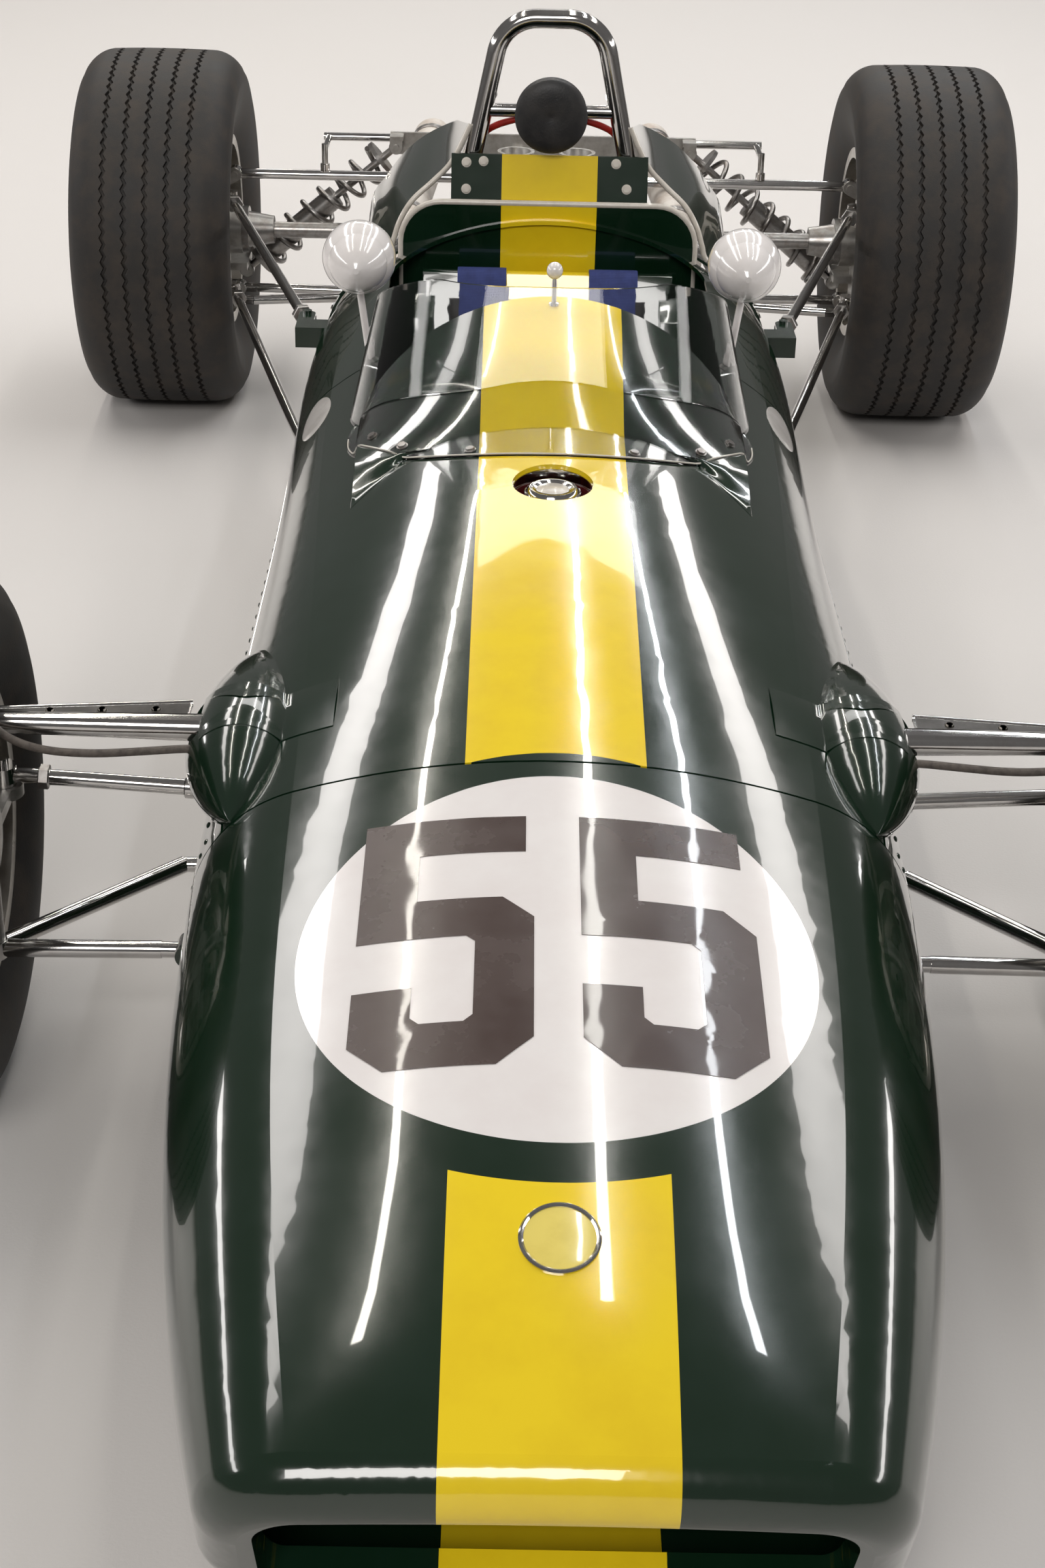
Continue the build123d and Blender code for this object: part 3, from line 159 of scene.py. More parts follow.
def add_node(tree, kind, links=(), **settings):
    """New node; links are (input, source socket or plain value)."""
    node = tree.nodes.new(kind)
    for name, value in settings.items():
        setattr(node, name, value)
    for name, source in links:
        if isinstance(source, bpy.types.NodeSocket):
            tree.links.new(source, node.inputs[name])
        else:
            node.inputs[name].default_value = source
    return node


def maths(tree, operation, first, second=None, clamp=False):
    """Math node with one or two inputs; gives its output."""
    links = [(0, first)] if second is None else [(0, first), (1, second)]
    return add_node(tree, "ShaderNodeMath", links, operation=operation, use_clamp=clamp).outputs[0]


def blend(tree, share, first, second):
    """Colour between two others; gives its output."""
    return add_node(tree, "ShaderNodeMix", [("Factor", share), (6, first), (7, second)],
                    data_type="RGBA").outputs[2]


def build_wear_group():
    """Cloudy change of colour and roughness."""
    tree, start, end = make_group(
        "Surface Wear",
        [("Position", "NodeSocketVector", None), ("Colour", "NodeSocketColor", (0.5, 0.5, 0.5, 1)),
         ("Worn Colour", "NodeSocketColor", (0.3, 0.3, 0.3, 1)), ("Scale", "NodeSocketFloat", 20.0),
         ("Amount", "NodeSocketFloat", 0.3), ("Roughness", "NodeSocketFloat", 0.3),
         ("Roughness Spread", "NodeSocketFloat", 0.1)],
        [("Colour", "NodeSocketColor"), ("Roughness", "NodeSocketFloat")])
    cloud = add_node(tree, "ShaderNodeTexNoise", [
        ("Vector", start["Position"]), ("Scale", start["Scale"]), ("Detail", 5.0), ("Roughness", 0.62)])
    shaped = add_node(tree, "ShaderNodeMapRange", [
        ("Value", cloud.outputs["Fac"]), ("From Min", 0.42), ("From Max", 0.68)])
    share = maths(tree, "MULTIPLY", shaped.outputs[0], start["Amount"], clamp=True)
    offset = maths(tree, "SUBTRACT", cloud.outputs["Fac"], 0.5)
    spread = maths(tree, "MULTIPLY", offset, start["Roughness Spread"])
    tree.links.new(blend(tree, share, start["Colour"], start["Worn Colour"]), end["Colour"])
    tree.links.new(maths(tree, "ADD", start["Roughness"], spread, clamp=True), end["Roughness"])
    return tree


def build_grain_group():
    """Pebbled grain, as on leather, rubber and cast metal."""
    tree, start, end = make_group(
        "Pebble Grain", [("Position", "NodeSocketVector", None), ("Scale", "NodeSocketFloat", 300.0)],
        [("Height", "NodeSocketFloat")])
    spot = [("Vector", start["Position"]), ("Scale", start["Scale"])]
    cells = add_node(tree, "ShaderNodeTexVoronoi", spot, feature="SMOOTH_F1")
    fine = add_node(tree, "ShaderNodeTexNoise", spot + [("Detail", 3.0)])
    tree.links.new(maths(tree, "ADD", cells.outputs["Distance"], fine.outputs["Fac"]), end["Height"])
    return tree


def build_weave_group():
    """Over and under weave of webbing, from two crossed waves."""
    tree, start, end = make_group(
        "Flat Weave", [("Position", "NodeSocketVector", None), ("Scale", "NodeSocketFloat", 900.0)],
        [("Height", "NodeSocketFloat")])
    spot = [("Vector", start["Position"]), ("Scale", start["Scale"])]
    waves = [add_node(tree, "ShaderNodeTexWave", spot, bands_direction=way) for way in ("X", "Z")]
    tree.links.new(maths(tree, "MULTIPLY", *(wave.outputs["Fac"] for wave in waves)), end["Height"])
    return tree


WEAR, GRAIN, WEAVE = build_wear_group(), build_grain_group(), build_weave_group()
WOVEN = ("blue_webbing", "braided_hose")

# Colour, worn colour, scale and amount of wear, roughness and its spread, metallic, coat, and the bump's
# scale and strength
FINISHES = {
    "chrome": ((0.62, 0.61, 0.60), (0.42, 0.39, 0.36), 40, 0.35, 0.10, 0.10, 1, 0, 900, 0.02),
    "steel": ((0.34, 0.33, 0.32), (0.17, 0.14, 0.12), 60, 0.6, 0.32, 0.2, 1, 0, 700, 0.06),
    "alloy": ((0.50, 0.49, 0.47), (0.28, 0.25, 0.22), 35, 0.7, 0.38, 0.25, 1, 0, 500, 0.12),
    "wheel_alloy": ((0.56, 0.54, 0.50), (0.26, 0.22, 0.18), 24, 0.6, 0.30, 0.2, 1, 0, 420, 0.08),
    "iron": ((0.30, 0.29, 0.28), (0.16, 0.09, 0.06), 50, 0.7, 0.35, 0.25, 1, 0, 600, 0.08),
    "black_paint": ((0.010, 0.010, 0.011), (0.028, 0.025, 0.022), 45, 0.5, 0.38, 0.2, 0, 0.1, 500, 0.05),
    "black_trim": ((0.011, 0.011, 0.012), (0.035, 0.031, 0.028), 30, 0.6, 0.50, 0.2, 0, 0, 420, 0.25),
    "red_trim": ((0.16, 0.012, 0.010), (0.08, 0.010, 0.009), 26, 0.6, 0.46, 0.2, 0, 0, 380, 0.25),
    "white_paint": ((0.80, 0.77, 0.76), (0.62, 0.58, 0.55), 18, 0.4, 0.16, 0.1, 0, 1, 260, 0.02),
    "pale_pipe": ((0.62, 0.58, 0.53), (0.34, 0.25, 0.19), 16, 0.8, 0.52, 0.2, 0, 0, 360, 0.15),
    "rubber_tyre": ((0.0125, 0.0110, 0.0100), (0.036, 0.027, 0.020), 22, 0.8, 0.66, 0.2, 0, 0, 500, 0.22),
    "blue_webbing": ((0.020, 0.035, 0.16), (0.012, 0.020, 0.09), 60, 0.6, 0.72, 0.2, 0, 0, 160, 0.5),
    "red_lead": ((0.42, 0.018, 0.010), (0.20, 0.012, 0.010), 50, 0.5, 0.38, 0.2, 0, 0, 600, 0.05),
    "braided_hose": ((0.13, 0.11, 0.095), (0.05, 0.042, 0.036), 120, 0.8, 0.55, 0.2, 0, 0, 420, 0.6),
    "number_vinyl": ((0.050, 0.030, 0.026), (0.075, 0.050, 0.045), 12, 0.5, 0.26, 0.25, 0, 0.5, 60, 0.03),
    "yellow_enamel": ((0.80, 0.66, 0.16), (0.66, 0.52, 0.10), 40, 0.4, 0.15, 0.1, 0, 1, 200, 0.02),
    # pale_trim is real trim on bolts, rivets and the cap face, and a painted highlight on the edge tubes of
    # the screen and the cowl fairings
    "pale_trim": ((0.60, 0.56, 0.50), (0.42, 0.38, 0.33), 60, 0.5, 0.32, 0.15, 0, 0.5, 500, 0.05),
    "dull_sheet": ((0.060, 0.057, 0.054), (0.030, 0.028, 0.026), 30, 0.7, 0.40, 0.2, 1, 0, 300, 0.08),
    "pale_plate": ((0.52, 0.50, 0.48), (0.38, 0.36, 0.34), 40, 0.5, 0.24, 0.1, 0, 0.6, 300, 0.04),
    "deep_red": ((0.10, 0.010, 0.012), (0.05, 0.008, 0.008), 40, 0.5, 0.30, 0.1, 0, 0.4, 300, 0.04),
    "dial_face": ((0.008, 0.008, 0.008), (0.015, 0.015, 0.015), 30, 0.4, 0.35, 0.1, 0, 0.6, 300, 0.02),
    "mirror_face": ((0.80, 0.80, 0.80), (0.72, 0.72, 0.72), 20, 0.2, 0.03, 0.02, 1, 0, 200, 0.0),
}


def start_material(name):
    """Empty material with its Principled shader and a position on the piece."""
    material = bpy.data.materials.new(name)
    material.use_nodes = True
    tree = material.node_tree
    position = tree.nodes.new("ShaderNodeTexCoord").outputs["Object"]
    return material, tree, tree.nodes["Principled BSDF"], position


def set_inputs(shader, **values):
    """Plain values of a shader's inputs, named with low lines for spaces."""
    for name, value in values.items():
        shader.inputs[name.replace("_", " ")].default_value = value


def add_bump(tree, shader, height, strength, distance=0.0006):
    """Bump from a height, led to the shader."""
    links = [("Height", height), ("Strength", strength), ("Distance", distance)]
    tree.links.new(add_node(tree, "ShaderNodeBump", links).outputs["Normal"], shader.inputs["Normal"])


def add_wear(tree, position, colour, worn, scale, amount, rough, spread):
    """Node of the wear group; gives its colour and its roughness."""
    return add_node(tree, "ShaderNodeGroup", [
        ("Position", position), ("Colour", (*colour, 1)), ("Worn Colour", (*worn, 1)), ("Scale", scale),
        ("Amount", amount), ("Roughness", rough), ("Roughness Spread", spread)], node_tree=WEAR).outputs


def make_finish(name):
    """One finish from its row of the table."""
    *wear, metallic, coat, bump_scale, bump_strength = FINISHES[name]
    material, tree, shader, position = start_material(name)
    colour, rough = add_wear(tree, position, *wear)
    tree.links.new(colour, shader.inputs["Base Color"])
    tree.links.new(rough, shader.inputs["Roughness"])
    grain = add_node(tree, "ShaderNodeGroup", [("Position", position), ("Scale", bump_scale)],
                     node_tree=WEAVE if name in WOVEN else GRAIN)
    add_bump(tree, shader, grain.outputs["Height"], bump_strength)
    set_inputs(shader, Metallic=metallic, Coat_Weight=coat, Coat_Roughness=0.04)
    return material


def make_body_paint():
    """Green paint with the stripe and the number disc set by position, under a clear coat."""
    sizes = bpy.context.scene.car_markings
    seat_station, nose_station, side_height, disc_stretch = 1.20, -0.76, 0.33, 0.96
    material, tree, shader, position = start_material("body_paint")
    x, y, z = add_node(tree, "ShaderNodeSeparateXYZ", [(0, position)]).outputs

    def both(first, second):
        return maths(tree, "MULTIPLY", first, second)

    def distance(first, second):
        return maths(tree, "SQRT", maths(tree, "ADD", both(first, first), both(second, second)))

    ahead = maths(tree, "SUBTRACT", y, FRONT_AXLE_Y + sizes.roundel_station)
    behind_seat = maths(tree, "GREATER_THAN", y, FRONT_AXLE_Y + seat_station)
    narrowing = both(behind_seat, (sizes.stripe_width - sizes.rear_stripe_width) / 2)
    from_middle = maths(tree, "ADD", maths(tree, "ABSOLUTE", x), narrowing)
    in_width = maths(tree, "LESS_THAN", from_middle, sizes.stripe_width / 2)
    past_gap = maths(tree, "GREATER_THAN", distance(x, ahead), sizes.stripe_gap_radius)
    upper = maths(tree, "GREATER_THAN", z, side_height)
    nose_lip = maths(tree, "LESS_THAN", y, FRONT_AXLE_Y + nose_station)
    stripe = both(both(in_width, past_gap), maths(tree, "MAXIMUM", upper, nose_lip))
    from_disc = distance(x, both(ahead, disc_stretch))
    disc = both(maths(tree, "LESS_THAN", from_disc, sizes.roundel_radius), upper)
    green, yellow, white = (
        add_wear(tree, position, colour, worn, 9.0, amount, 0.16, 0.12) for colour, worn, amount in (
            (sizes.body_colour, (0.006, 0.021, 0.012), 0.5), (sizes.stripe_colour, (0.76, 0.52, 0.010), 0.6),
            (sizes.disc_colour, (0.72, 0.67, 0.66), 0.6)))
    striped = blend(tree, stripe, green["Colour"], yellow["Colour"])
    tree.links.new(blend(tree, disc, striped, white["Colour"]), shader.inputs["Base Color"])
    tree.links.new(green["Roughness"], shader.inputs["Roughness"])
    ripple = add_node(tree, "ShaderNodeTexNoise", [("Vector", position), ("Scale", 15.0), ("Detail", 2.5)])
    add_bump(tree, shader, ripple.outputs["Fac"], 0.24, 0.0014)
    set_inputs(shader, Coat_Weight=1.0, Coat_Roughness=0.025)
    return material


def make_clear_screen():
    """Clear plastic with a light scatter of fine marks."""
    material, tree, shader, position = start_material("clear_screen")
    set_inputs(shader, Base_Color=(0.97, 0.98, 0.98, 1), Transmission_Weight=1.0, IOR=1.30)
    haze = add_node(tree, "ShaderNodeTexNoise", [("Vector", position), ("Scale", 14.0), ("Detail", 4.0)])
    rough = add_node(tree, "ShaderNodeMapRange", [
        ("Value", haze.outputs["Fac"]), ("To Min", 0.02), ("To Max", 0.05)])
    tree.links.new(rough.outputs[0], shader.inputs["Roughness"])
    return material


SPECIAL_FINISHES = {"body_paint": make_body_paint, "clear_screen": make_clear_screen}
MATERIALS = {}


def finish(name):
    """The named material, made when it is first asked for."""
    if name not in MATERIALS:
        MATERIALS[name] = SPECIAL_FINISHES[name]() if name in SPECIAL_FINISHES else make_finish(name)
    return MATERIALS[name]


# Piece helpers; a piece rides the chassis and has its finish's name as its slot, unless told otherwise

def add_object(name, data):
    """New object in the scene."""
    obj = bpy.data.objects.new(name, data)
    bpy.context.scene.collection.objects.link(obj)
    return obj


def settle(obj, material, body="chassis"):
    """Give a made piece its finish, body and slot."""
    obj.data.materials.clear()
    obj.data.materials.append(finish(material))
    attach(obj, body)
    return obj


def smooth(mesh, angle=40):
    """Smooth shading, with edges sharper than the angle kept."""
    for face in mesh.polygons:
        face.use_smooth = True
    limit = math.radians(angle)
    form = bmesh.new()
    form.from_mesh(mesh)
    for edge in form.edges:
        edge.smooth = len(edge.link_faces) == 2 and edge.calc_face_angle(0) < limit
    form.to_mesh(mesh)
    form.free()


def take_mesh(holder, name, angle=40):
    """Plain smooth mesh of a holder as its bevel or modifiers leave it; the holder goes."""
    bpy.context.view_layer.update()
    mesh = bpy.data.meshes.new_from_object(holder.evaluated_get(bpy.context.evaluated_depsgraph_get()))
    bpy.data.objects.remove(holder)
    mesh.name = name
    smooth(mesh, angle)
    return mesh


def from_lists(name, points, faces, material, body="chassis", angle=40):
    """Piece from its points and faces, with faces outward."""
    mesh = bpy.data.meshes.new(name)
    mesh.from_pydata([tuple(p) for p in points], [], faces)
    form = bmesh.new()
    form.from_mesh(mesh)
    bmesh.ops.remove_doubles(form, verts=form.verts, dist=1e-6)
    bmesh.ops.recalc_face_normals(form, faces=form.faces)
    form.to_mesh(mesh)
    form.free()
    smooth(mesh, angle)
    return settle(add_object(name, mesh), material, body)


def wound(name, loops, material, body="chassis", angle=40):
    """Ring-shaped piece through closed loops of points, with the last loop joined to the first."""
    size = len(loops[0])
    faces = []
    for step in range(len(loops)):
        here, after = step * size, (step + 1) % len(loops) * size
        for k in range(size):
            m = (k + 1) % size
            faces.append((here + k, here + m, after + m, after + k))
    return from_lists(name, [p for loop in loops for p in loop], faces, material, body, angle)


def lathe(name, profile, centre, axis, material, body="chassis", count=48, angle=40):
    """Piece from a profile of (along, radius) turned about an axis."""
    turn = Vector(axis).normalized().to_track_quat("Z", "Y")
    loops = []
    for bearing in 2 * math.pi * np.arange(count) / count:
        u, v = math.cos(bearing), math.sin(bearing)
        loops.append([centre + turn @ Vector((radius * u, radius * v, along)) for along, radius in profile])
    return wound(name, loops, material, body, angle)


def sleeve(name, start, end, first, last, radius, sides, material, slot, body="chassis"):
    """Sleeve or nut round a rod, between two distances in metres from the rod's start."""
    bore, edge = 0.002, min(0.0012, (last - first) / 6)
    profile = [(first, bore), (first, radius - edge), (first + edge, radius), (last - edge, radius),
               (last, radius - edge), (last, bore)]
    return lathe(name, profile, start, end - start, material, body, sides, 30)


def tube(name, points, radius, material, order=3, sides=3):
    """Smooth round tube along points, as a plain mesh."""
    curve = bpy.data.curves.new(name, "CURVE")
    curve.dimensions = "3D"
    curve.bevel_depth = radius
    curve.bevel_resolution = sides
    curve.resolution_u = 10
    curve.use_fill_caps = True
    spline = curve.splines.new("NURBS")
    spline.points.add(len(points) - 1)
    for target, p in zip(spline.points, points):
        target.co = (*p, 1)
    spline.order_u = order
    spline.use_endpoint_u = True
    mesh = take_mesh(add_object(name + "_line", curve), name)
    return settle(add_object(name, mesh), material)


def shell(name, pairs, material, angle=60):
    """Closed slab between two grids of points, given row by row as (front row, back row)."""
    rows, columns = len(pairs), len(pairs[0][0])
    points = [p for side in (0, 1) for pair in pairs for p in pair[side]]
    shift = rows * columns
    faces = []
    for r in range(rows - 1):
        for c in range(columns - 1):
            a = r * columns + c
            faces.append((a, a + 1, a + columns + 1, a + columns))
            faces.append((shift + a, shift + a + columns, shift + a + columns + 1, shift + a + 1))
    rim = ([c for c in range(columns)] + [r * columns + columns - 1 for r in range(1, rows)]
           + [(rows - 1) * columns + c for c in range(columns - 2, -1, -1)]
           + [r * columns for r in range(rows - 2, 0, -1)])
    for a, b in zip(rim, rim[1:] + rim[:1]):
        faces.append((a, a + shift, b + shift, b))
    return from_lists(name, points, faces, material, angle=angle)


# Faces of a block whose first four points are its one side and the next four the other side
BLOCK_FACES = ((0, 1, 2, 3), (7, 6, 5, 4), (0, 4, 5, 1), (1, 5, 6, 2), (2, 6, 7, 3), (3, 7, 4, 0))


def surface_tree(*names):
    """Search tree over some CAD nodes."""
    points, faces = [], []
    for name in names:
        mesh = NODES[name].data
        start = len(points)
        points.extend(v.co.copy() for v in mesh.vertices)
        faces.extend(tuple(start + i for i in p.vertices) for p in mesh.polygons)
    return BVHTree.FromPolygons(points, faces)


def meet(tree, origin, direction):
    """Point and outward normal where a ray first meets the surface."""
    direction = Vector(direction).normalized()
    spot, normal, _, _ = tree.ray_cast(Vector(origin), direction)
    if spot is None:
        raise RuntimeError(f"no surface met from {tuple(origin)}")
    if normal.dot(direction) > 0:
        normal = -normal
    return spot, normal


def drop(tree, x, station):
    """Point and normal where a line from above meets the surface."""
    return meet(tree, place(x, station, 1), DOWN)


def ring_points(centre, axis, radius, count, phase=0.0):
    """Points on a circle about an axis, each with the axis as its outward direction."""
    axis = Vector(axis).normalized()
    turn = axis.to_track_quat("Z", "Y")
    found = []
    for k in range(count):
        angle = 2 * math.pi * (k + phase) / count
        found.append((centre + turn @ Vector((radius * math.cos(angle), radius * math.sin(angle), 0)), axis))
    return found


# Repeats made by Geometry Nodes

def build_fixing_tree(kind):
    """Tree that sets a rivet or bolt on each point, or along each line, with its head outward."""
    tree = bpy.data.node_groups.new(f"{kind} row", "GeometryNodeTree")
    for label, way, socket_kind, value in (
            ("Geometry", "INPUT", "Geometry", None), ("Radius", "INPUT", "Float", 0.004),
            ("Height", "INPUT", "Float", 0.002), ("Pitch", "INPUT", "Float", 0.03),
            ("Material", "INPUT", "Material", None), ("Geometry", "OUTPUT", "Geometry", None)):
        socket = tree.interface.new_socket(name=label, in_out=way, socket_type="NodeSocket" + socket_kind)
        if value is not None:
            socket.default_value = value
    start, end = tree.nodes.new("NodeGroupInput").outputs, tree.nodes.new("NodeGroupOutput").inputs

    def add(kind_name, links=(), **settings):
        return add_node(tree, "GeometryNode" + kind_name, links, **settings).outputs

    points = start["Geometry"]
    if kind == "rivet":
        line = add("MeshToCurve", [("Mesh", points)])
        spacing = [("Curve", line["Curve"]), ("Length", start["Pitch"])]
        points = add("ResampleCurve", spacing, mode="LENGTH")["Curve"]
        ball = add("MeshUVSphere", [("Segments", 10), ("Rings", 6), ("Radius", start["Radius"])])
        flat = add_node(tree, "ShaderNodeCombineXYZ", [("X", 1.0), ("Y", 1.0), ("Z", 0.5)])
        head = add("Transform", [("Geometry", ball["Mesh"]), ("Scale", flat.outputs[0])])["Geometry"]
    else:
        hexagon = add("MeshCylinder", [
            ("Vertices", 6), ("Radius", start["Radius"]), ("Depth", start["Height"])])
        lift = add_node(tree, "ShaderNodeCombineXYZ", [("Z", maths(tree, "MULTIPLY", start["Height"], 0.55))])
        lifted = add("Transform", [("Geometry", hexagon["Mesh"]), ("Translation", lift.outputs[0])])
        washer = add("MeshCylinder", [
            ("Vertices", 16), ("Radius", maths(tree, "MULTIPLY", start["Radius"], 1.3)),
            ("Depth", maths(tree, "MULTIPLY", start["Height"], 0.3))])
        head = add("JoinGeometry")[0]
        tree.links.new(lifted["Geometry"], head.node.inputs[0])
        tree.links.new(washer["Mesh"], head.node.inputs[0])
    outward = add("InputNamedAttribute", [("Name", "outward")], data_type="FLOAT_VECTOR")
    turn = add_node(tree, "FunctionNodeAlignRotationToVector", [("Vector", outward["Attribute"])], axis="Z")
    placed = add("InstanceOnPoints", [
        ("Points", points), ("Instance", head), ("Rotation", turn.outputs["Rotation"])])
    real = add("RealizeInstances", [("Geometry", placed["Instances"])])
    coloured = add("SetMaterial", [("Geometry", real["Geometry"]), ("Material", start["Material"])])
    tree.links.new(coloured["Geometry"], end["Geometry"])
    return tree


FIXING_TREES = {}


def add_fixings(name, kind, rows, radius, height, material, body="chassis", pitch=0.03):
    """Rivets along rows, or bolts on points; rows hold (point, outward) pairs."""
    if kind not in FIXING_TREES:
        FIXING_TREES[kind] = build_fixing_tree(kind)
    points, edges, outward = [], [], []
    for row in rows:
        for k, (spot, normal) in enumerate(row):
            if k and kind == "rivet":
                edges.append((len(points) - 1, len(points)))
            points.append(tuple(spot))
            outward.extend(normal)
    mesh = bpy.data.meshes.new(name + "_points")
    mesh.from_pydata(points, edges, [])
    mesh.attributes.new("outward", "FLOAT_VECTOR", "POINT").data.foreach_set("vector", outward)
    holder = add_object(name + "_points", mesh)
    modifier = holder.modifiers.new("fixings", "NODES")
    modifier.node_group = FIXING_TREES[kind]
    values = {"Radius": radius, "Height": height, "Pitch": pitch, "Material": finish(material)}
    for item in modifier.node_group.interface.items_tree:
        if item.in_out == "INPUT" and item.name in values:
            modifier[item.identifier] = values[item.name]
    return settle(add_object(name, take_mesh(holder, name, 35)), material, body)


# Operators: one for each piece or group of like pieces; outlines for lathe are (along, radius) in metres

class CAR_OT_finishes(bpy.types.Operator):
    """Give every node of the frame its finish"""
    bl_idname = "car.finishes"
    bl_label = "Finishes"

    def execute(self, context):
        slots = {row["node"]: row["material_slot"] for row in frame["record"]["subparts"]}
        for name, node in NODES.items():
            painted = slots[name] == "green_paint" or name == "headrest_panel"
            node.data.materials.clear()
            node.data.materials.append(finish("body_paint" if painted else slots[name]))
        return {"FINISHED"}


# Outline of a plain block figure five, one wide; heights count from its foot
FIVE = [(0, 2.12), (0.95, 2.12), (0.95, 1.78), (0.33, 1.78), (0.33, 1.36), (0.82, 1.36), (1, 1.18), (1, 0.20),
        (0.80, 0), (0.20, 0), (0, 0.20), (0, 0.62), (0.33, 0.62), (0.33, 0.38), (0.38, 0.33), (0.62, 0.33),
        (0.67, 0.38), (0.67, 0.98), (0.62, 1.03), (0, 1.03)]


class CAR_OT_number(bpy.types.Operator):
    """Lay the plain number on the white disc"""
    bl_idname = "car.number"
    bl_label = "Number"

    def cut(self, form, axis, low, span, cell=0.008):
        """Cut the flat figure across one axis into cells, so that it can follow the body."""
        normal = Vector((1, 0, 0)) if axis == 0 else Vector((0, 1, 0))
        for k in range(1, int(span / cell)):
            bmesh.ops.bisect_plane(form, geom=form.verts[:] + form.edges[:] + form.faces[:],
                                   plane_co=normal * (low + k * cell), plane_no=normal)

    def execute(self, context):
        tree = surface_tree("nose_cone", "scuttle")
        width, gap, lift, thickness = 0.158, 0.021, 0.0004, 0.0003
        foot = FRONT_AXLE_Y - 0.575
        for name, left in (("number_left", gap), ("number_right", -gap - width)):
            form = bmesh.new()
            form.faces.new([form.verts.new((left + u * width, foot + v * width, 1)) for u, v in FIVE])
            bmesh.ops.triangulate(form, faces=form.faces)
            self.cut(form, 0, left, width)
            self.cut(form, 1, foot, width * FIVE[0][1])
            for vertex in form.verts:
                spot, outward = meet(tree, vertex.co, DOWN)
                vertex.co = spot + outward * lift
            bmesh.ops.remove_doubles(form, verts=form.verts, dist=1e-5)
            bmesh.ops.recalc_face_normals(form, faces=form.faces)
            for edge in form.edges:
                edge.smooth = not edge.is_boundary
            mesh = bpy.data.meshes.new(name)
            form.to_mesh(mesh)
            form.free()
            if mesh.polygons[0].normal.z < 0:
                mesh.flip_normals()
            for face in mesh.polygons:
                face.use_smooth = True
            obj = add_object(name, mesh)
            solid = obj.modifiers.new("thickness", "SOLIDIFY")
            solid.thickness = thickness
            solid.offset = 1
            settle(obj, "number_vinyl")
        return {"FINISHED"}


def arc_points(start, through, end, count):
    """Points on the arc through three points, without its last one."""
    (ax, ay), (bx, by), (cx, cy) = start, through, end
    double = 2 * (ax * (by - cy) + bx * (cy - ay) + cx * (ay - by))
    a, b, c = ax * ax + ay * ay, bx * bx + by * by, cx * cx + cy * cy
    mx = (a * (by - cy) + b * (cy - ay) + c * (ay - by)) / double
    my = (a * (cx - bx) + b * (ax - cx) + c * (bx - ax)) / double
    radius = math.hypot(ax - mx, ay - my)
    first, mid, last = (math.atan2(y - my, x - mx) for x, y in (start, through, end))
    turn = 2 * math.pi
    sweep = (last - first) % turn
    if (mid - first) % turn > sweep:
        sweep = -((first - last) % turn)
    angles = [first + sweep * k / count for k in range(count)]
    return [(mx + radius * math.cos(angle), my + radius * math.sin(angle)) for angle in angles]


class CAR_OT_tyres(bpy.types.Operator):
    """Tyres with zigzag grooves and ribbed shoulders"""
    bl_idname = "car.tyres"
    bl_label = "Tyres"

    def profile(self, half, radius, seat, sizes, swing):
        """Closed outline across a tyre as (sideways, radius), with its grooves moved by the swing."""
        bead, bead_width, bead_height, inner_height = 0.1653, 0.022, 0.014, 0.012
        skin, wall_thickness, rib, widest_up = 0.020, 0.016, 0.0012, 0.012
        crown_drop, shoulder_drop, wall_drop = 0.002, 0.020, 0.032
        tread_share, grooved_share, shoulder_share, wall_share = 0.66, 0.80, 0.9, 0.96
        tread, widest = half * tread_share, (radius + bead) / 2 + widest_up
        under, brow = (tread, radius - skin), (half * shoulder_share, radius - shoulder_drop)
        foot = [(seat, bead + bead_height), (seat, bead), (seat - bead_width, bead)]
        shoulder = arc_points((tread, radius - crown_drop), brow, (half, widest), 12)
        ribbed = [(u - (rib if k in (7, 9) else 0), r) for k, (u, r) in enumerate(shoulder)]
        wall = arc_points((half, widest), (half * wall_share, widest - wall_drop), foot[0], 8)
        inner_foot = (seat - bead_width, bead + inner_height)
        inner = arc_points(inner_foot, (half - wall_thickness, widest), under, 6)
        right = ribbed + wall + foot + inner + [under]
        across = []
        pitch = 2 * tread * grooved_share / (sizes.grooves - 1)
        w = sizes.groove_width / 2
        for k in range(sizes.grooves):
            centre = (k - (sizes.grooves - 1) / 2) * pitch + swing
            for u, depth in ((-w, 0), (-w * 0.7, sizes.groove_depth), (w * 0.7, sizes.groove_depth), (w, 0)):
                crown = radius - crown_drop * ((centre + u) / tread) ** 2
                across.append((centre + u, crown - depth))
        return [(-u, r) for u, r in reversed(right)] + across + right

    def execute(self, context):
        sizes = context.scene.car_tread
        clear, rim_lip = 0.0004, 0.006
        for name in WHEEL_NAMES:
            low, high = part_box("tyre_" + name)
            centre = (low + high) / 2
            half, radius = (high.x - low.x) / 2 - clear, (high.z - low.z) / 2
            rim_low, rim_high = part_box("rim_" + name)
            seat = (rim_high.x - rim_low.x) / 2 - rim_lip
            count = sizes.zigzag_count * 2
            loops = []
            for step in range(count):
                swing = sizes.zigzag * (0.5 if step % 2 else -0.5)
                angle = 2 * math.pi * step / count
                back, up = math.sin(angle), math.cos(angle)
                outline = self.profile(half, radius, seat, sizes, swing)
                loops.append([centre + Vector((u, r * back, r * up)) for u, r in outline])
            tyre = wound("treaded_tyre_" + name, loops, "rubber_tyre", body="wheel_" + name, angle=50)
            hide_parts("tyre_" + name)
        return {"FINISHED"}


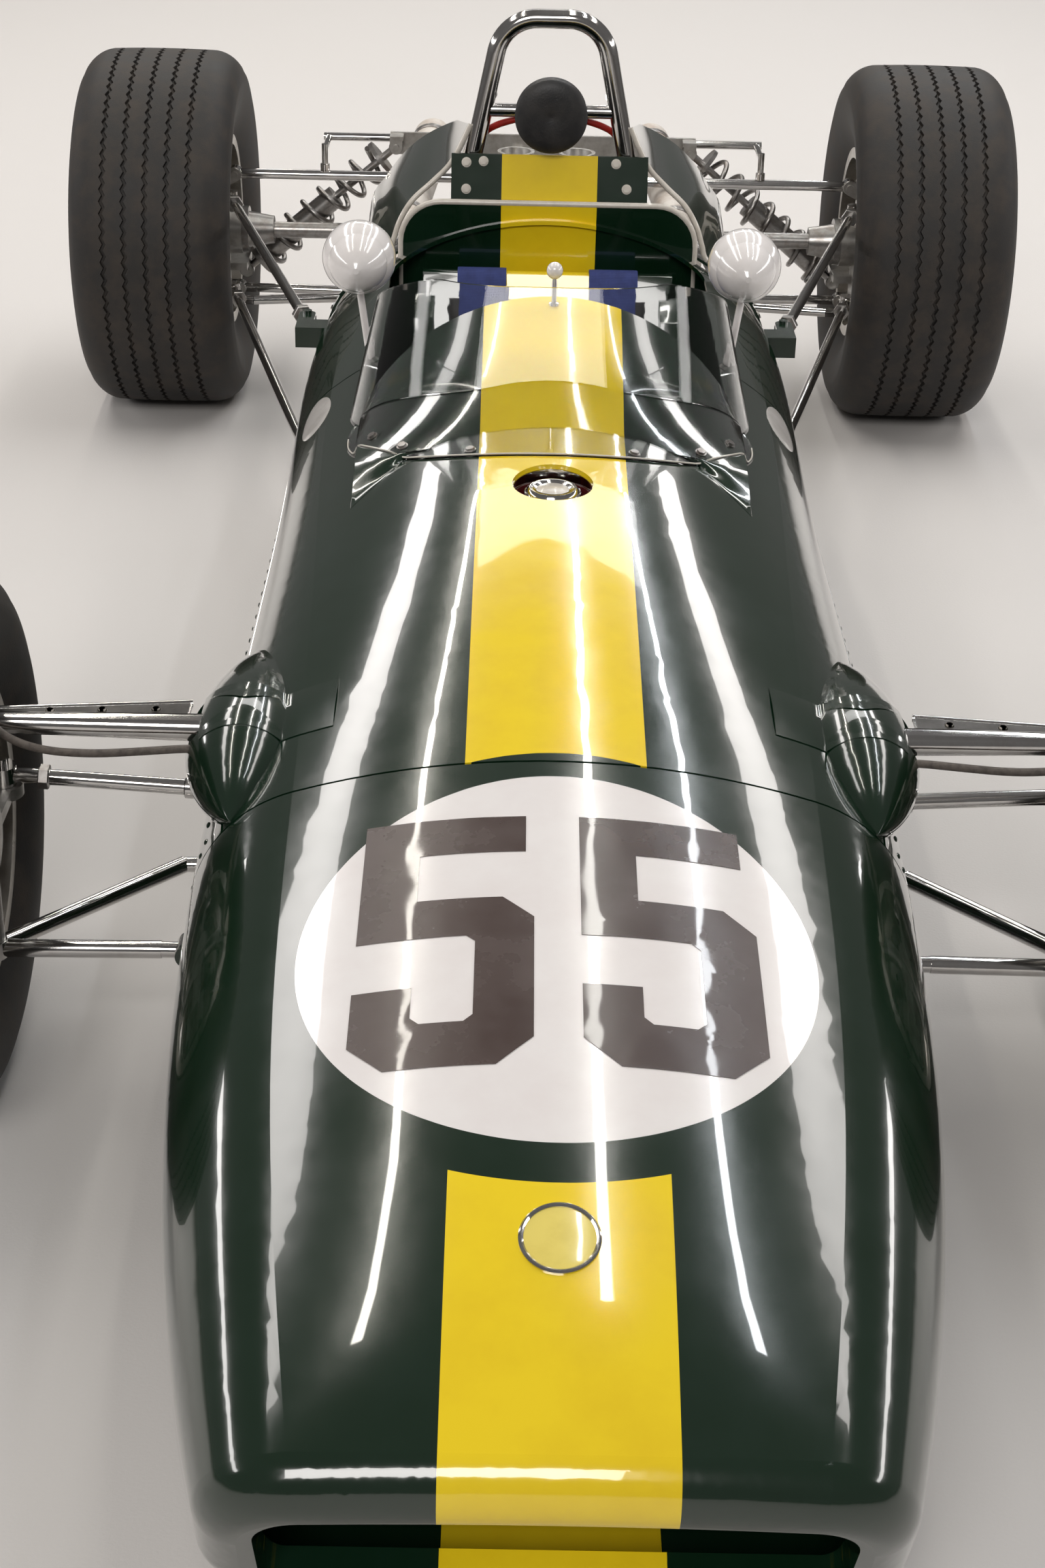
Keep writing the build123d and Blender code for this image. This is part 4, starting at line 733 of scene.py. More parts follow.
class CAR_OT_wheels(bpy.types.Operator):
    """Drive bolts round the hubs, and the tyre valves"""
    bl_idname = "car.wheels"
    bl_label = "Wheel Fixings"

    def execute(self, context):
        bolt_radius = context.scene.car_fixings.bolt_radius * 0.36
        face_out, bolt_ring, bolt_height, valve_in, valve_up = 0.0542, 0.0412, 0.004, 0.040, 0.156
        valve = [(0, 0), (0, 0.0042), (0.016, 0.0040), (0.017, 0.0048), (0.027, 0.0048), (0.029, 0.0034),
                 (0.029, 0)]
        for name in WHEEL_NAMES:
            centre = middle("rim_" + name)
            out = 1 if centre.x > 0 else -1
            bolts = ring_points(centre + Vector((out * face_out, 0, 0)), (out, 0, 0), bolt_ring, 6)
            add_fixings("hub_bolts_" + name, "bolt", [bolts], bolt_radius, bolt_height, "steel",
                        body="wheel_" + name)
            rim_low, rim_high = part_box("rim_" + name)
            edge = rim_high.x if out > 0 else rim_low.x
            foot = Vector((edge - out * valve_in, centre.y, centre.z + valve_up))
            lathe("tyre_valve_" + name, valve, foot, (out, 0, 0), "black_trim", body="wheel_" + name,
                  count=16)
        return {"FINISHED"}


class CAR_OT_rivets(bpy.types.Operator):
    """Rows of rivets on the tub and small screws round the covers"""
    bl_idname = "car.rivets"
    bl_label = "Rivets"

    def execute(self, context):
        sizes = context.scene.car_fixings
        tub, cowls = surface_tree("tub"), surface_tree("engine_cowls")
        low, high, front, bulkhead, rear = 0.150, 0.372, -0.128, 0.55, 1.378
        stations, heights = np.linspace(-0.12, 1.37, 48), np.linspace(0.165, 0.36, 9)
        screw_radius, screw_height = 0.0055, 0.003
        # Station and height of each cowl screw
        cowl_places = ((1.425, 0.34), (1.425, 0.46), (1.56, 0.34), (1.70, 0.34), (1.70, 0.44))
        rows, screws = [], []
        for side, _ in SIDES:
            inward = (-side, 0, 0)
            for height in (low, high):
                rows.append([meet(tub, place(side, station, height), inward) for station in stations])
            for station in (front, bulkhead, rear):
                rows.append([meet(tub, place(side, station, height), inward) for height in heights])
            screws += [meet(cowls, place(side, station, height), inward) for station, height in cowl_places]
        add_fixings("tub_rivets", "rivet", rows, sizes.rivet_radius, 0, "body_paint",
                    pitch=sizes.rivet_pitch)
        add_fixings("cowl_screws", "bolt", [screws], screw_radius, screw_height, "steel")
        return {"FINISHED"}


class CAR_OT_screen(bpy.types.Operator):
    """Screws in the foot of the windscreen"""
    bl_idname = "car.screen"
    bl_label = "Windscreen Fixings"

    def execute(self, context):
        radius, height = context.scene.car_fixings.bolt_radius * 0.75, 0.003
        glass = surface_tree("windscreen")
        screws = []
        for side, _ in SIDES:
            for x, station in ((0.100, 0.530), (0.185, 0.575), (0.225, 0.625)):
                screws.append(drop(glass, side * x, station))
        add_fixings("screen_screws", "bolt", [screws], radius, height, "steel")
        return {"FINISHED"}


class CAR_OT_filler(bpy.types.Operator):
    """Lining of the filler well and the ribbed cap in it"""
    bl_idname = "car.filler"
    bl_label = "Filler Cap"

    def execute(self, context):
        deck, grip_ring, grip_lift, grip_radius, grip_height = 0.540, 0.0325, 0.0015, 0.0024, 0.0012
        centre = middle("filler_cap")
        centre.z = deck
        lathe("filler_cap_top", [(0.006, 0), (0.0065, 0.020), (0.009, 0.023), (0.009, 0.028), (0.005, 0.0318),
                                 (-0.006, 0.0326), (-0.006, 0)], centre, UP, "chrome", count=64)
        lathe("filler_cap_face", [(0.0074, 0), (0.0072, 0.0185), (0.0062, 0.0200), (0.004, 0.0200),
                                  (0.004, 0)], centre, UP, "pale_trim")
        lathe("filler_well_lining", [(-0.034, 0.0340), (-0.034, 0.0462), (-0.001, 0.0462), (-0.001, 0.0452),
                                     (-0.032, 0.0452), (-0.032, 0.0340)],
              centre, UP, "deep_red", count=64)
        grips = []
        for spot, _ in ring_points(centre + UP * grip_lift, UP, grip_ring, 24):
            away = (spot - centre).normalized()
            grips.append((spot, Vector((away.x, away.y, 0))))
        add_fixings("filler_cap_grips", "bolt", [grips], grip_radius, grip_height, "chrome")
        return {"FINISHED"}


class CAR_OT_badge(bpy.types.Operator):
    """Plain enamel disc with its bright rim on the nose"""
    bl_idname = "car.badge"
    bl_label = "Nose Disc"

    def execute(self, context):
        spot, outward = drop(surface_tree("nose_cone"), 0, -0.748)
        lathe("nose_disc_rim", [(-0.0035, 0.0285), (0.0012, 0.0285), (0.0026, 0.0300), (0.0026, 0.0312),
                                (0.0012, 0.0325), (-0.0035, 0.0325)], spot, outward, "chrome", count=64)
        lathe("nose_disc", [(-0.003, 0), (-0.003, 0.0284), (0.0006, 0.0284), (0.0013, 0.020), (0.0016, 0.010),
                            (0.0017, 0)], spot, outward, "yellow_enamel", count=64)
        return {"FINISHED"}


class CAR_OT_mirrors(bpy.types.Operator):
    """Mirror glass in its bright ring"""
    bl_idname = "car.mirrors"
    bl_label = "Mirrors"

    def execute(self, context):
        ring = [(-0.002, 0.0420), (0.0, 0.0400), (0.0012, 0.0410), (0.0012, 0.0436), (-0.0005, 0.0447),
                (-0.006, 0.0450), (-0.006, 0.0425)]
        glass = [(-0.0015, 0), (-0.0015, 0.0415), (0.0004, 0.0408), (0.0008, 0.020), (0.0009, 0)]
        pod_radius = 0.050
        for side, name in SIDES:
            low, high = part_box("mirror_" + name)
            pod_x = high.x - pod_radius if side > 0 else low.x + pod_radius
            pod = Vector((pod_x, high.y, high.z - pod_radius))
            lathe("mirror_ring_" + name, ring, pod, BACK, "chrome", count=64)
            lathe("mirror_glass_" + name, glass, pod, BACK, "mirror_face", count=64)
        return {"FINISHED"}


class CAR_OT_dials(bpy.types.Operator):
    """Instrument faces with ticks, needles and bright rims, turned to the driver"""
    bl_idname = "car.dials"
    bl_label = "Instruments"

    def bar(self, points, faces, centre, angle, inner, outer, half):
        """Raised bar on a dial, between two radii at an angle from straight up."""
        along = Vector((-math.sin(angle), 0, math.cos(angle)))
        across = Vector((along.z, 0, -along.x))
        start = len(points)
        for level in (0.0004, 0.0008):
            for reach, side in ((inner, -half), (outer, -half), (outer, half), (inner, half)):
                points.append(centre + along * reach + across * side + BACK * level)
        faces.extend(tuple(start + i for i in quad) for quad in BLOCK_FACES)

    def execute(self, context):
        station = 0.7505
        # Sideways, height, radius, ticks, and the needle's lean from straight up in degrees
        dials = ((0, 0.590, 0.035, 44, -60), (-0.095, 0.578, 0.021, 20, 30), (0.095, 0.578, 0.021, 20, -20),
                 (-0.150, 0.545, 0.017, 16, 70), (0.150, 0.545, 0.017, 16, 45))
        for k, (x, z, radius, ticks, lean) in enumerate(dials):
            centre = place(x, station, z)
            face = [(0, 0), (0, radius - 0.0005), (0.0004, radius - 0.0005), (0.0005, 0)]
            rim = [(0.0046, radius - 0.001), (0.006, radius), (0.0062, radius + 0.003),
                   (0.0046, radius + 0.0046)]
            lathe(f"dial_face_{k}", face, centre, BACK, "dial_face")
            lathe(f"dial_rim_{k}", rim, centre, BACK, "chrome")
            points, faces, tip = [], [], radius * 0.92
            for t in range(ticks + 1):
                angle = math.radians(-135 + 270 * t / ticks)
                length = radius * (0.22 if t % 4 == 0 else 0.12)
                self.bar(points, faces, centre, angle, tip - length, tip, radius * 0.016)
            self.bar(points, faces, centre, math.radians(lean), -radius * 0.18, radius * 0.74, radius * 0.035)
            from_lists(f"dial_marks_{k}", points, faces, "white_paint")
        return {"FINISHED"}


class CAR_OT_seat(bpy.types.Operator):
    """Painted seat shell with two pleated pads on it"""
    bl_idname = "car.seat"
    bl_label = "Seat"

    def rounded_copy(self, name, node, bevel):
        """Copy of a CAD node's mesh with its flat faces joined and its edges rounded."""
        form = bmesh.new()
        form.from_mesh(NODES[node].data)
        bmesh.ops.remove_doubles(form, verts=form.verts, dist=1e-5)
        bmesh.ops.dissolve_limit(form, angle_limit=math.radians(2), verts=form.verts, edges=form.edges)
        mesh = bpy.data.meshes.new(name)
        form.to_mesh(mesh)
        form.free()
        for face in mesh.polygons:
            face.use_smooth = True
        obj = add_object(name, mesh)
        rounding = obj.modifiers.new("rounding", "BEVEL")
        rounding.width = bevel
        rounding.segments = 3
        rounding.limit_method = "ANGLE"
        rounding.angle_limit = math.radians(30)
        rounding.harden_normals = True
        return obj

    def pad(self, name, start, end, half=0.152, depth=0.010, pleats=9):
        """Pleated pad that lies on the seat's line between two (station, height) places."""
        seam, foot = 0.0012, 0.0006
        start = Vector(start)
        along = Vector(end) - start
        normal = Vector((-along.y, along.x)).normalized()
        pairs = []
        for v in np.linspace(0, 1, 25):
            base = start + along * v
            end_fall = (1 - abs(2 * v - 1) ** 8) ** 0.5
            front, back = [], []
            for u in np.linspace(-1, 1, 10 * pleats + 1):
                side_fall = (1 - abs(u) ** 8) ** 0.5
                pleat = 0.45 + 0.55 * abs(math.cos(math.pi * pleats * (u + 1) / 2 + math.pi / 2)) ** 0.5
                lift = seam + depth * end_fall * side_fall * pleat
                front.append(place(u * half, *(base + normal * lift)))
                back.append(place(u * half, *(base + normal * foot)))
            pairs.append((front, back))
        shell(name, pairs, "black_trim")

    def execute(self, context):
        painted = settle(self.rounded_copy("seat_shell", "seat", 0.006), "body_paint")
        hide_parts("seat")
        self.pad("seat_back_pad", (1.163, 0.142), (1.3185, 0.509))
        self.pad("seat_base_pad", (1.012, 0.1048), (1.143, 0.1096))
        return {"FINISHED"}


class CAR_OT_trim(bpy.types.Operator):
    """Pale edging of the rear rim, a pale tube on the screen's edge that is a painted highlight, and the
    fairings of the hood's front corners
    """
    bl_idname = "car.trim"
    bl_label = "Edge Trim"

    def rim_edging(self):
        """Tube over the arch of the rim behind the driver."""
        half, top, corner, station, foot, bend, radius = 0.226, 0.636, 0.062, 1.3955, 0.50, 0.54, 0.0048
        line = [(-half, station, foot), (-half, station, bend)]
        for turn, centre_x in ((math.pi, -half + corner), (math.pi / 2, half - corner)):
            for angle in turn - np.linspace(0, math.pi / 2, 9):
                x, z = centre_x + corner * math.cos(angle), top - corner + corner * math.sin(angle)
                line.append((x, station, z))
        line += [(half, station, bend), (half, station, foot)]
        tube("rim_edging", route(1, line), radius, "pale_trim", order=2, sides=4)

    def screen_highlight_edging(self):
        """Thin pale tube along the upper edge of the windscreen; its pale colour is a painted highlight of
        the lit edge of the clear plastic.
        """
        half, reach, station, radius = 0.2605, 0.1885, 0.690, 0.0011
        glass = surface_tree("windscreen")
        angles = np.radians(np.linspace(-2, 182, 40))
        edge = [drop(glass, half * math.cos(a), station - reach * math.sin(a))[0] for a in angles]
        # The pale tube stands in for light on the screen's edge: a painted highlight.
        tube("screen_highlight_edging", edge, radius, "pale_trim", sides=2)

    def hood_corner(self, hood, side, name):
        """Fairing that leads the body's skin up to one front corner of the dash hood."""
        front, first, last, columns = 0.560, 0.180, 0.2425, 14
        shortest, longer, margin, thickness = 0.002, 0.085, 0.0005, 0.0015
        pairs = []
        for k, x in enumerate(list(np.linspace(first, last, columns)) + [last + 0.0014]):
            lead = shortest + longer * min((x - first) / (last - first), 1)
            above, _ = drop(hood, side * min(x, last), front + 0.004)
            foot, _ = drop(hood, side * x, front - 0.003)
            step, lift = (max(above.z - foot.z, 0.0), 0.0004) if k < columns else (0.0, -0.001)
            outer, inner = [], []
            for t in np.linspace(0, 1, 12):
                ground, _ = drop(hood, side * x, front - margin - lead * (1 - t))
                outer.append(ground + UP * (step * t * t * (3 - 2 * t) + lift))
                inner.append(ground - UP * thickness)
            pairs.append((outer, inner))
        shell("hood_corner_" + name, pairs, "body_paint")

    def execute(self, context):
        self.rim_edging()
        self.screen_highlight_edging()
        hood = surface_tree("scuttle")
        for side, name in SIDES:
            self.hood_corner(hood, side, name)
        return {"FINISHED"}


class CAR_OT_cowl_fairings(bpy.types.Operator):
    """Green fairings that rise from the engine cowls to the hoop, with rolled front edges whose pale colour
    is a painted highlight
    """
    bl_idname = "car.cowl_fairings"
    bl_label = "Cowl Fairings"

    def curve(self, corners, steps=5):
        """Points of a curve that passes through the corners, with the given steps between two of them."""
        corners = [np.array(corner) for corner in corners]
        ends = [2 * corners[0] - corners[1], *corners, 2 * corners[-1] - corners[-2]]
        line = []
        for a, b, c, d in zip(ends, ends[1:], ends[2:], ends[3:]):
            for t in np.arange(steps) / steps:
                line.append((2 * b + (c - a) * t + (2 * a - 5 * b + 4 * c - d) * t ** 2
                             + (3 * b - a - 3 * c + d) * t ** 3) / 2)
        return line + [corners[-1]]

    def execute(self, context):
        # Sideways, station and height of the front and the rear edge, from the foot up, in metres
        front_edge = ((0.322, 1.404, 0.483), (0.285, 1.404, 0.5205), (0.247, 1.404, 0.551),
                      (0.238, 1.405, 0.574), (0.2285, 1.408, 0.602), (0.209, 1.414, 0.633),
                      (0.178, 1.424, 0.660), (0.149, 1.430, 0.690), (0.1215, 1.436, 0.744))
        rear_edge = ((0.291, 1.736, 0.398), (0.297, 1.734, 0.470), (0.2875, 1.732, 0.553),
                     (0.264, 1.729, 0.590), (0.241, 1.726, 0.622), (0.216, 1.723, 0.647),
                     (0.191, 1.719, 0.665), (0.169, 1.715, 0.677), (0.148, 1.710, 0.687))
        thickness, swelling, even_from, highlight_edging_from, highlight_edging_radius = 0.003, 0.009, 30, 10, 0.0042
        first, last = self.curve(front_edge), self.curve(rear_edge)
        for side, name in SIDES:
            grid = []
            for share in np.linspace(0, 1, 13):
                row = []
                for k, (a, b) in enumerate(zip(first, last)):
                    x, station, z = a + (b - a) * share
                    rise = math.sin(math.pi * min(k / even_from, 1))
                    swell = swelling * math.sin(math.pi * share) * rise
                    row.append(place(side * (x + swell), station, z + swell / 2))
                grid.append(row)
            pairs = []
            for r, row in enumerate(grid):
                inner = []
                for c, spot in enumerate(row):
                    along = grid[min(r + 1, len(grid) - 1)][c] - grid[max(r - 1, 0)][c]
                    up = row[min(c + 1, len(row) - 1)] - row[max(c - 1, 0)]
                    inner.append(spot - thickness * side * up.cross(along).normalized())
                pairs.append((row, inner))
            shell("cowl_fairing_" + name, pairs, "body_paint", 50)
            # Rolled edge along the front of the fairing, coloured pale as a painted highlight.
            edging = route(side, first[highlight_edging_from:])
            tube("fairing_highlight_edging_" + name, edging, highlight_edging_radius, "pale_trim", sides=4)
        return {"FINISHED"}


class CAR_OT_blisters(bpy.types.Operator):
    """Covers over the slots that the rockers pass through"""
    bl_idname = "car.blisters"
    bl_label = "Blister Covers"

    def execute(self, context):
        tree = surface_tree("scuttle")
        axis_x, axis_z, reach, clear_x, away_from = 0.322, 0.412, 0.046, 0.226, 0.4
        lift, bulge, thickness = 0.0010, 0.0022, 0.0008
        for side, name in SIDES:
            starts = [(side * x, 1, DOWN) for x in np.linspace(clear_x, axis_x, 12)]
            for angle in np.radians(np.linspace(84, 42, 8)):
                away = Vector((side * math.cos(angle), 0, math.sin(angle)))
                starts.append((side * axis_x + away.x * away_from, axis_z + away.z * away_from, -away))
            pairs = []
            for x, z, inward in starts:
                ends = [meet(tree, place(x, station, z), inward) for station in (-reach, reach)]
                (first, normal_a), (last, normal_b) = ends
                normal = (normal_a + normal_b).normalized()
                outer, inner = [], []
                for share in np.linspace(0, 1, 9):
                    height = lift + bulge * (1 - (2 * share - 1) ** 2)
                    spot = first.lerp(last, share)
                    outer.append(spot + normal * height)
                    inner.append(spot + normal * (height - thickness))
                pairs.append((outer, inner))
            shell("blister_cover_" + name, pairs, "body_paint", 50)
        return {"FINISHED"}


class CAR_OT_linkage(bpy.types.Operator):
    """Dull webs and rivets on the rockers, and the brake hoses"""
    bl_idname = "car.linkage"
    bl_label = "Linkage"

    def execute(self, context):
        web_in, web_out, web_front, web_low, web_high = 0.384, KINGPIN_X - 0.018, 0.004, 0.4443, 0.4451
        web = [(web_in, web_front), (web_out, web_front), (web_out, 0.0235), (web_in, 0.047)]
        # Each rivet has two heads that nearly coincide
        rivet_z, shifts, rivet_radius, rivet_height, hose_radius = 0.4449, (0, 0.0001), 0.0042, 0.0025, 0.0043
        hose = ((0.330, -0.030, 0.430), (0.368, -0.034, 0.434), (0.420, -0.036, 0.430),
                (0.480, -0.034, 0.424), (0.535, -0.030, 0.426), (0.572, -0.024, 0.440),
                (0.592, -0.012, 0.462), (0.598, 0.000, 0.470))
        rivets = []
        for side, name in SIDES:
            points = [place(side * x, s, z) for z in (web_low, web_high) for x, s in web]
            from_lists("rocker_web_" + name, points, BLOCK_FACES, "dull_sheet")
            for x, s in ((0.418, 0.030), (0.474, 0.026), (0.528, 0.022)):
                rivets.append([(place(side * (x + shift), s, rivet_z), UP) for shift in shifts])
            tube("brake_hose_" + name, route(side, hose), hose_radius, "braided_hose", sides=4)
        add_fixings("rocker_rivets", "bolt", rivets, rivet_radius, rivet_height, "pale_trim")
        return {"FINISHED"}


class CAR_OT_rods(bpy.types.Operator):
    """Sleeves and lock nuts on the steering rods and the radius rods"""
    bl_idname = "car.rods"
    bl_label = "Rod Ends"

    def execute(self, context):
        rack_x, rack_z, rod_station, rod_z = 0.256, 0.295, 0.120, 0.3164
        # Name, finish, first and last distance along the rod, radius and sides
        fittings = (("sleeve", "chrome", 0.098, 0.150, 0.0125, 24), ("nut", "steel", 0.084, 0.097, 0.0140, 6),
                    ("outer_nut", "steel", 0.300, 0.312, 0.0140, 6))
        rods = {"high": ((0.376, 1.434, 0.430), (0.5937, 2.270, 0.412)),
                "low": ((0.366, 1.434, 0.170), (0.5937, 2.270, 0.236))}
        nut_length, nut_radius, from_front, from_rear = 0.014, 0.0165, 0.040, 0.064
        for side, name in SIDES:
            inner, outer = route(side, ((rack_x, rod_station, rack_z), (KINGPIN_X, rod_station, rod_z)))
            for part, material, *sizes in fittings:
                sleeve(f"track_rod_{part}_{name}", inner, outer, *sizes, material, "chrome", "rack")
            for level, ends in rods.items():
                near, far = route(side, ends)
                for end, reach in (("front", from_front), ("rear", (far - near).length - from_rear)):
                    sleeve(f"radius_rod_nut_{level}_{end}_{name}", near, far, reach, reach + nut_length,
                           nut_radius, 6, "steel", "chrome")
        return {"FINISHED"}


class CAR_OT_engine(bpy.types.Operator):
    """Nuts on the cam covers and gearbox, clamps on the tail pipes, and the red leads"""
    bl_idname = "car.engine"
    bl_label = "Engine Fixings"
    crank_z = 0.235

    def cam_nuts(self):
        """Four rows of nuts on each bank's covers."""
        cover_reach, slant, radius, height = 0.2963, math.sqrt(0.5), 0.0070, 0.006
        rows = []
        for bank in (-1, 1):
            out, across = Vector((bank * slant, 0, slant)), Vector((slant, 0, -bank * slant))
            for offset in (-0.068, -0.016, 0.016, 0.068):
                foot = out * cover_reach + across * offset
                rows.append([(place(0, s, self.crank_z) + foot, out) for s in np.linspace(1.505, 1.905, 7)])
        add_fixings("cam_cover_nuts", "bolt", rows, radius, height, "steel")

    def gearbox_nuts(self):
        """A ring of nuts on the bell housing and one on the tail cover."""
        bell_station, bell_ring, tail_z, tail_ring = 1.9605, 0.1510, 0.290, 0.0500
        radius, height, flange = 0.0075, 0.007, 0.03
        housing = surface_tree("gearbox")
        nuts = []
        for spot, axis in ring_points(place(0, bell_station, self.crank_z), BACK, bell_ring, 14, 0.5):
            hit, _ = meet(housing, spot + BACK * 0.5, -BACK)
            if abs(hit.y - spot.y) < flange:
                nuts.append((hit, axis))
        tail = Vector((0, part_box("gearbox")[1].y, tail_z))
        for spot, axis in ring_points(tail, BACK, tail_ring, 8, 0.5):
            nuts.append((meet(housing, spot + BACK * 0.1, -BACK)[0], axis))
        add_fixings("gearbox_nuts", "bolt", [nuts], radius, height, "steel")

    def pipe_clamps(self, side, name):
        """Two clamps on the cone from the collector to the pipe's end."""
        half, thickness, collector_radius, flare = 0.009, 0.0028, 0.026, 0.014
        start, end = route(side, ((0.266, 2.060, 0.362), (0.225, 0, 0.420)))
        end.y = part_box("exhaust_" + name)[1].y
        for k, share in enumerate((0.30, 0.93)):
            middle_reach = (end - start).length * share
            radius = collector_radius + flare * share + thickness
            sleeve(f"pipe_clamp_{name}_{k}", start, end, middle_reach - half, middle_reach + half, radius, 48,
                   "steel", "steel")

    def leads(self, side, name):
        """Four plug leads from the distributor cap to one bank, and the lead beside the head pad."""
        first_plug, plug_pitch, plug_radius, coil_radius = 1.545, 0.110, 0.0036, 0.0052
        for k in range(4):
            station = first_plug + plug_pitch * k
            lead = ((0.020, 1.484, 0.452 + 0.006 * k), (0.030 + 0.006 * k, 1.478, 0.520),
                    (0.062 + 0.012 * k, 1.488, 0.590 - 0.012 * k), (0.118, station - 0.060, 0.560),
                    (0.150, station - 0.020, 0.510), (0.1862, station, 0.4210))
            tube(f"plug_lead_{name}_{k}", route(side, lead), plug_radius, "red_lead", sides=2)
        loop = ((0.050, 1.446, 0.752), (0.078, 1.452, 0.744), (0.104, 1.462, 0.726), (0.116, 1.478, 0.690),
                (0.104, 1.490, 0.620), (0.060, 1.486, 0.520), (0.022, 1.486, 0.470))
        tube(f"coil_lead_{name}", route(side, loop), coil_radius, "red_lead")

    def execute(self, context):
        self.cam_nuts()
        self.gearbox_nuts()
        for make in (self.pipe_clamps, self.leads):
            for side, name in SIDES:
                make(side, name)
        cap = [(-0.030, 0.002), (-0.030, 0.030), (0.012, 0.030), (0.018, 0.034), (0.024, 0.034),
               (0.040, 0.026), (0.044, 0.002)]
        lathe("distributor_cap", cap, place(0, 1.494, 0.440), UP, "black_trim", count=32)
        return {"FINISHED"}


class CAR_OT_side_plates(bpy.types.Operator):
    """Bare oval plates on the body sides beside the cockpit"""
    bl_idname = "car.side_plates"
    bl_label = "Side Plates"

    def execute(self, context):
        skin = surface_tree("scuttle", "tub")
        half_length, half_height, face_lift, edge_lift, foot_lift = 0.058, 0.030, 0.0009, 0.0004, 0.0002
        for side, name in SIDES:
            centre, facing = meet(skin, place(side * 0.6, 0.880, 0.67), (-side, 0, -0.72))
            upward = facing.cross(BACK).normalized() * -side
            pairs = []
            for share in (0.0, 0.35, 0.7, 0.93, 1.0):
                lift = face_lift if share < 1 else edge_lift
                front, back = [], []
                for angle in 2 * math.pi * np.arange(49) / 48:
                    along, up = half_length * share * math.cos(angle), half_height * share * math.sin(angle)
                    hit, normal = meet(skin, centre + BACK * along + upward * up + facing * 0.05, -facing)
                    front.append(hit + normal * lift)
                    back.append(hit + normal * foot_lift)
                pairs.append((front, back))
            shell("side_plate_" + name, pairs, "pale_plate")
        return {"FINISHED"}


class CAR_OT_head_pad(bpy.types.Operator):
    """Stuffed round head pad with its piped edge and sunk middle"""
    bl_idname = "car.head_pad"
    bl_label = "Head Pad"

    def execute(self, context):
        low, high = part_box("head_pad")
        radius, depth = (high.x - low.x) / 2, high.y - low.y
        # Shares of the depth from the middle, and of the radius
        outline = ((-0.5, 0), (-0.5, 0.86), (-0.42, 0.95), (-0.30, 1), (-0.24, 0.975), (0.10, 0.985),
                   (0.16, 0.97), (0.20, 1), (0.28, 1), (0.33, 0.955), (0.45, 0.82), (0.49, 0.55), (0.5, 0.30),
                   (0.47, 0.10), (0.44, 0))
        profile = [(u * depth, v * radius) for u, v in outline]
        pad = lathe("stuffed_head_pad", profile, (low + high) / 2, -BACK, "black_trim", count=72)
        soft = pad.modifiers.new("softness", "SUBSURF")
        soft.levels = soft.render_levels = 1
        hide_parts("head_pad")
        return {"FINISHED"}


class CAR_OT_belts(bpy.types.Operator):
    """Blue shoulder belts with sewn edges, over the top of the seat"""
    bl_idname = "car.belts"
    bl_label = "Belts"

    def execute(self, context):
        thickness, half, belt_x, gap = 0.0028, 0.037, 0.100, 0.0004
        # Station and height from the lap up and over the seat's top edge
        path = [(1.2313, 0.3353), (1.2518, 0.3851), (1.2728, 0.4351), (1.2950, 0.4850), (1.3215, 0.5305),
                (1.3288, 0.5405), (1.3340, 0.5462), (1.3410, 0.5472), (1.3490, 0.5462), (1.3515, 0.5400),
                (1.3510, 0.5150), (1.3460, 0.4900), (1.3360, 0.4600)]
        columns = (-1, -0.93, -0.90, -0.86, -0.5, 0, 0.5, 0.86, 0.90, 0.93, 1)
        # The seams and the edges are a little thinner
        thinner = {0.90: 0.0003, 1: 0.0006}
        spots = [Vector(spot) for spot in path]
        for side, name in SIDES:
            pairs = []
            for before, spot, after in zip(spots[:1] + spots, spots, spots[1:] + spots[-1:]):
                along = (after - before).normalized()
                out = Vector((-along.y, along.x))
                faces = []
                for share in (1, 0):
                    lifts = [gap + share * (thickness - thinner.get(abs(u), 0)) for u in columns]
                    faces.append([place(side * belt_x + u * half, *(spot + out * lift))
                                  for u, lift in zip(columns, lifts)])
                pairs.append(faces)
            belt = shell("shoulder_belt_" + name, pairs, "blue_webbing", angle=50)
            if side > 0:
                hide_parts("harness")
        return {"FINISHED"}


class CAR_OT_headrest(bpy.types.Operator):
    """Pale bolts on the panel behind the cockpit rim"""
    bl_idname = "car.headrest"
    bl_label = "Headrest Fixings"

    def execute(self, context):
        panel = surface_tree("headrest_panel")
        radius, height = 0.0058, 0.004
        places = ((-0.127, 0.692), (-0.101, 0.694), (0.101, 0.694), (0.118, 0.658), (-0.127, 0.654))
        spots = [meet(panel, place(x, 1.0, z), BACK) for x, z in places]
        add_fixings("headrest_bolts", "bolt", [spots], radius, height, "pale_trim")
        return {"FINISHED"}


class CAR_OT_knob(bpy.types.Operator):
    """White ball knob on its bright stem, behind the screen"""
    bl_idname = "car.knob"
    bl_label = "Knob"

    def execute(self, context):
        foot, _ = drop(surface_tree("scuttle"), 0.001, 0.768)
        stem = [(-0.001, 0), (-0.001, 0.007), (0.002, 0.007), (0.003, 0.0035), (0.028, 0.0030),
                (0.034, 0.0026), (0.034, 0)]
        lathe("knob_stem", stem, foot, UP, "chrome", count=24)
        centre_z, half_height, radius = 0.044, 0.011, 0.0105
        angles = np.linspace(math.pi / 2, -math.pi / 2, 13)
        ball = [(centre_z + half_height * math.sin(a), max(radius * math.cos(a), 0)) for a in angles]
        lathe("knob_ball", ball, foot, UP, "white_paint", count=32)
        return {"FINISHED"}


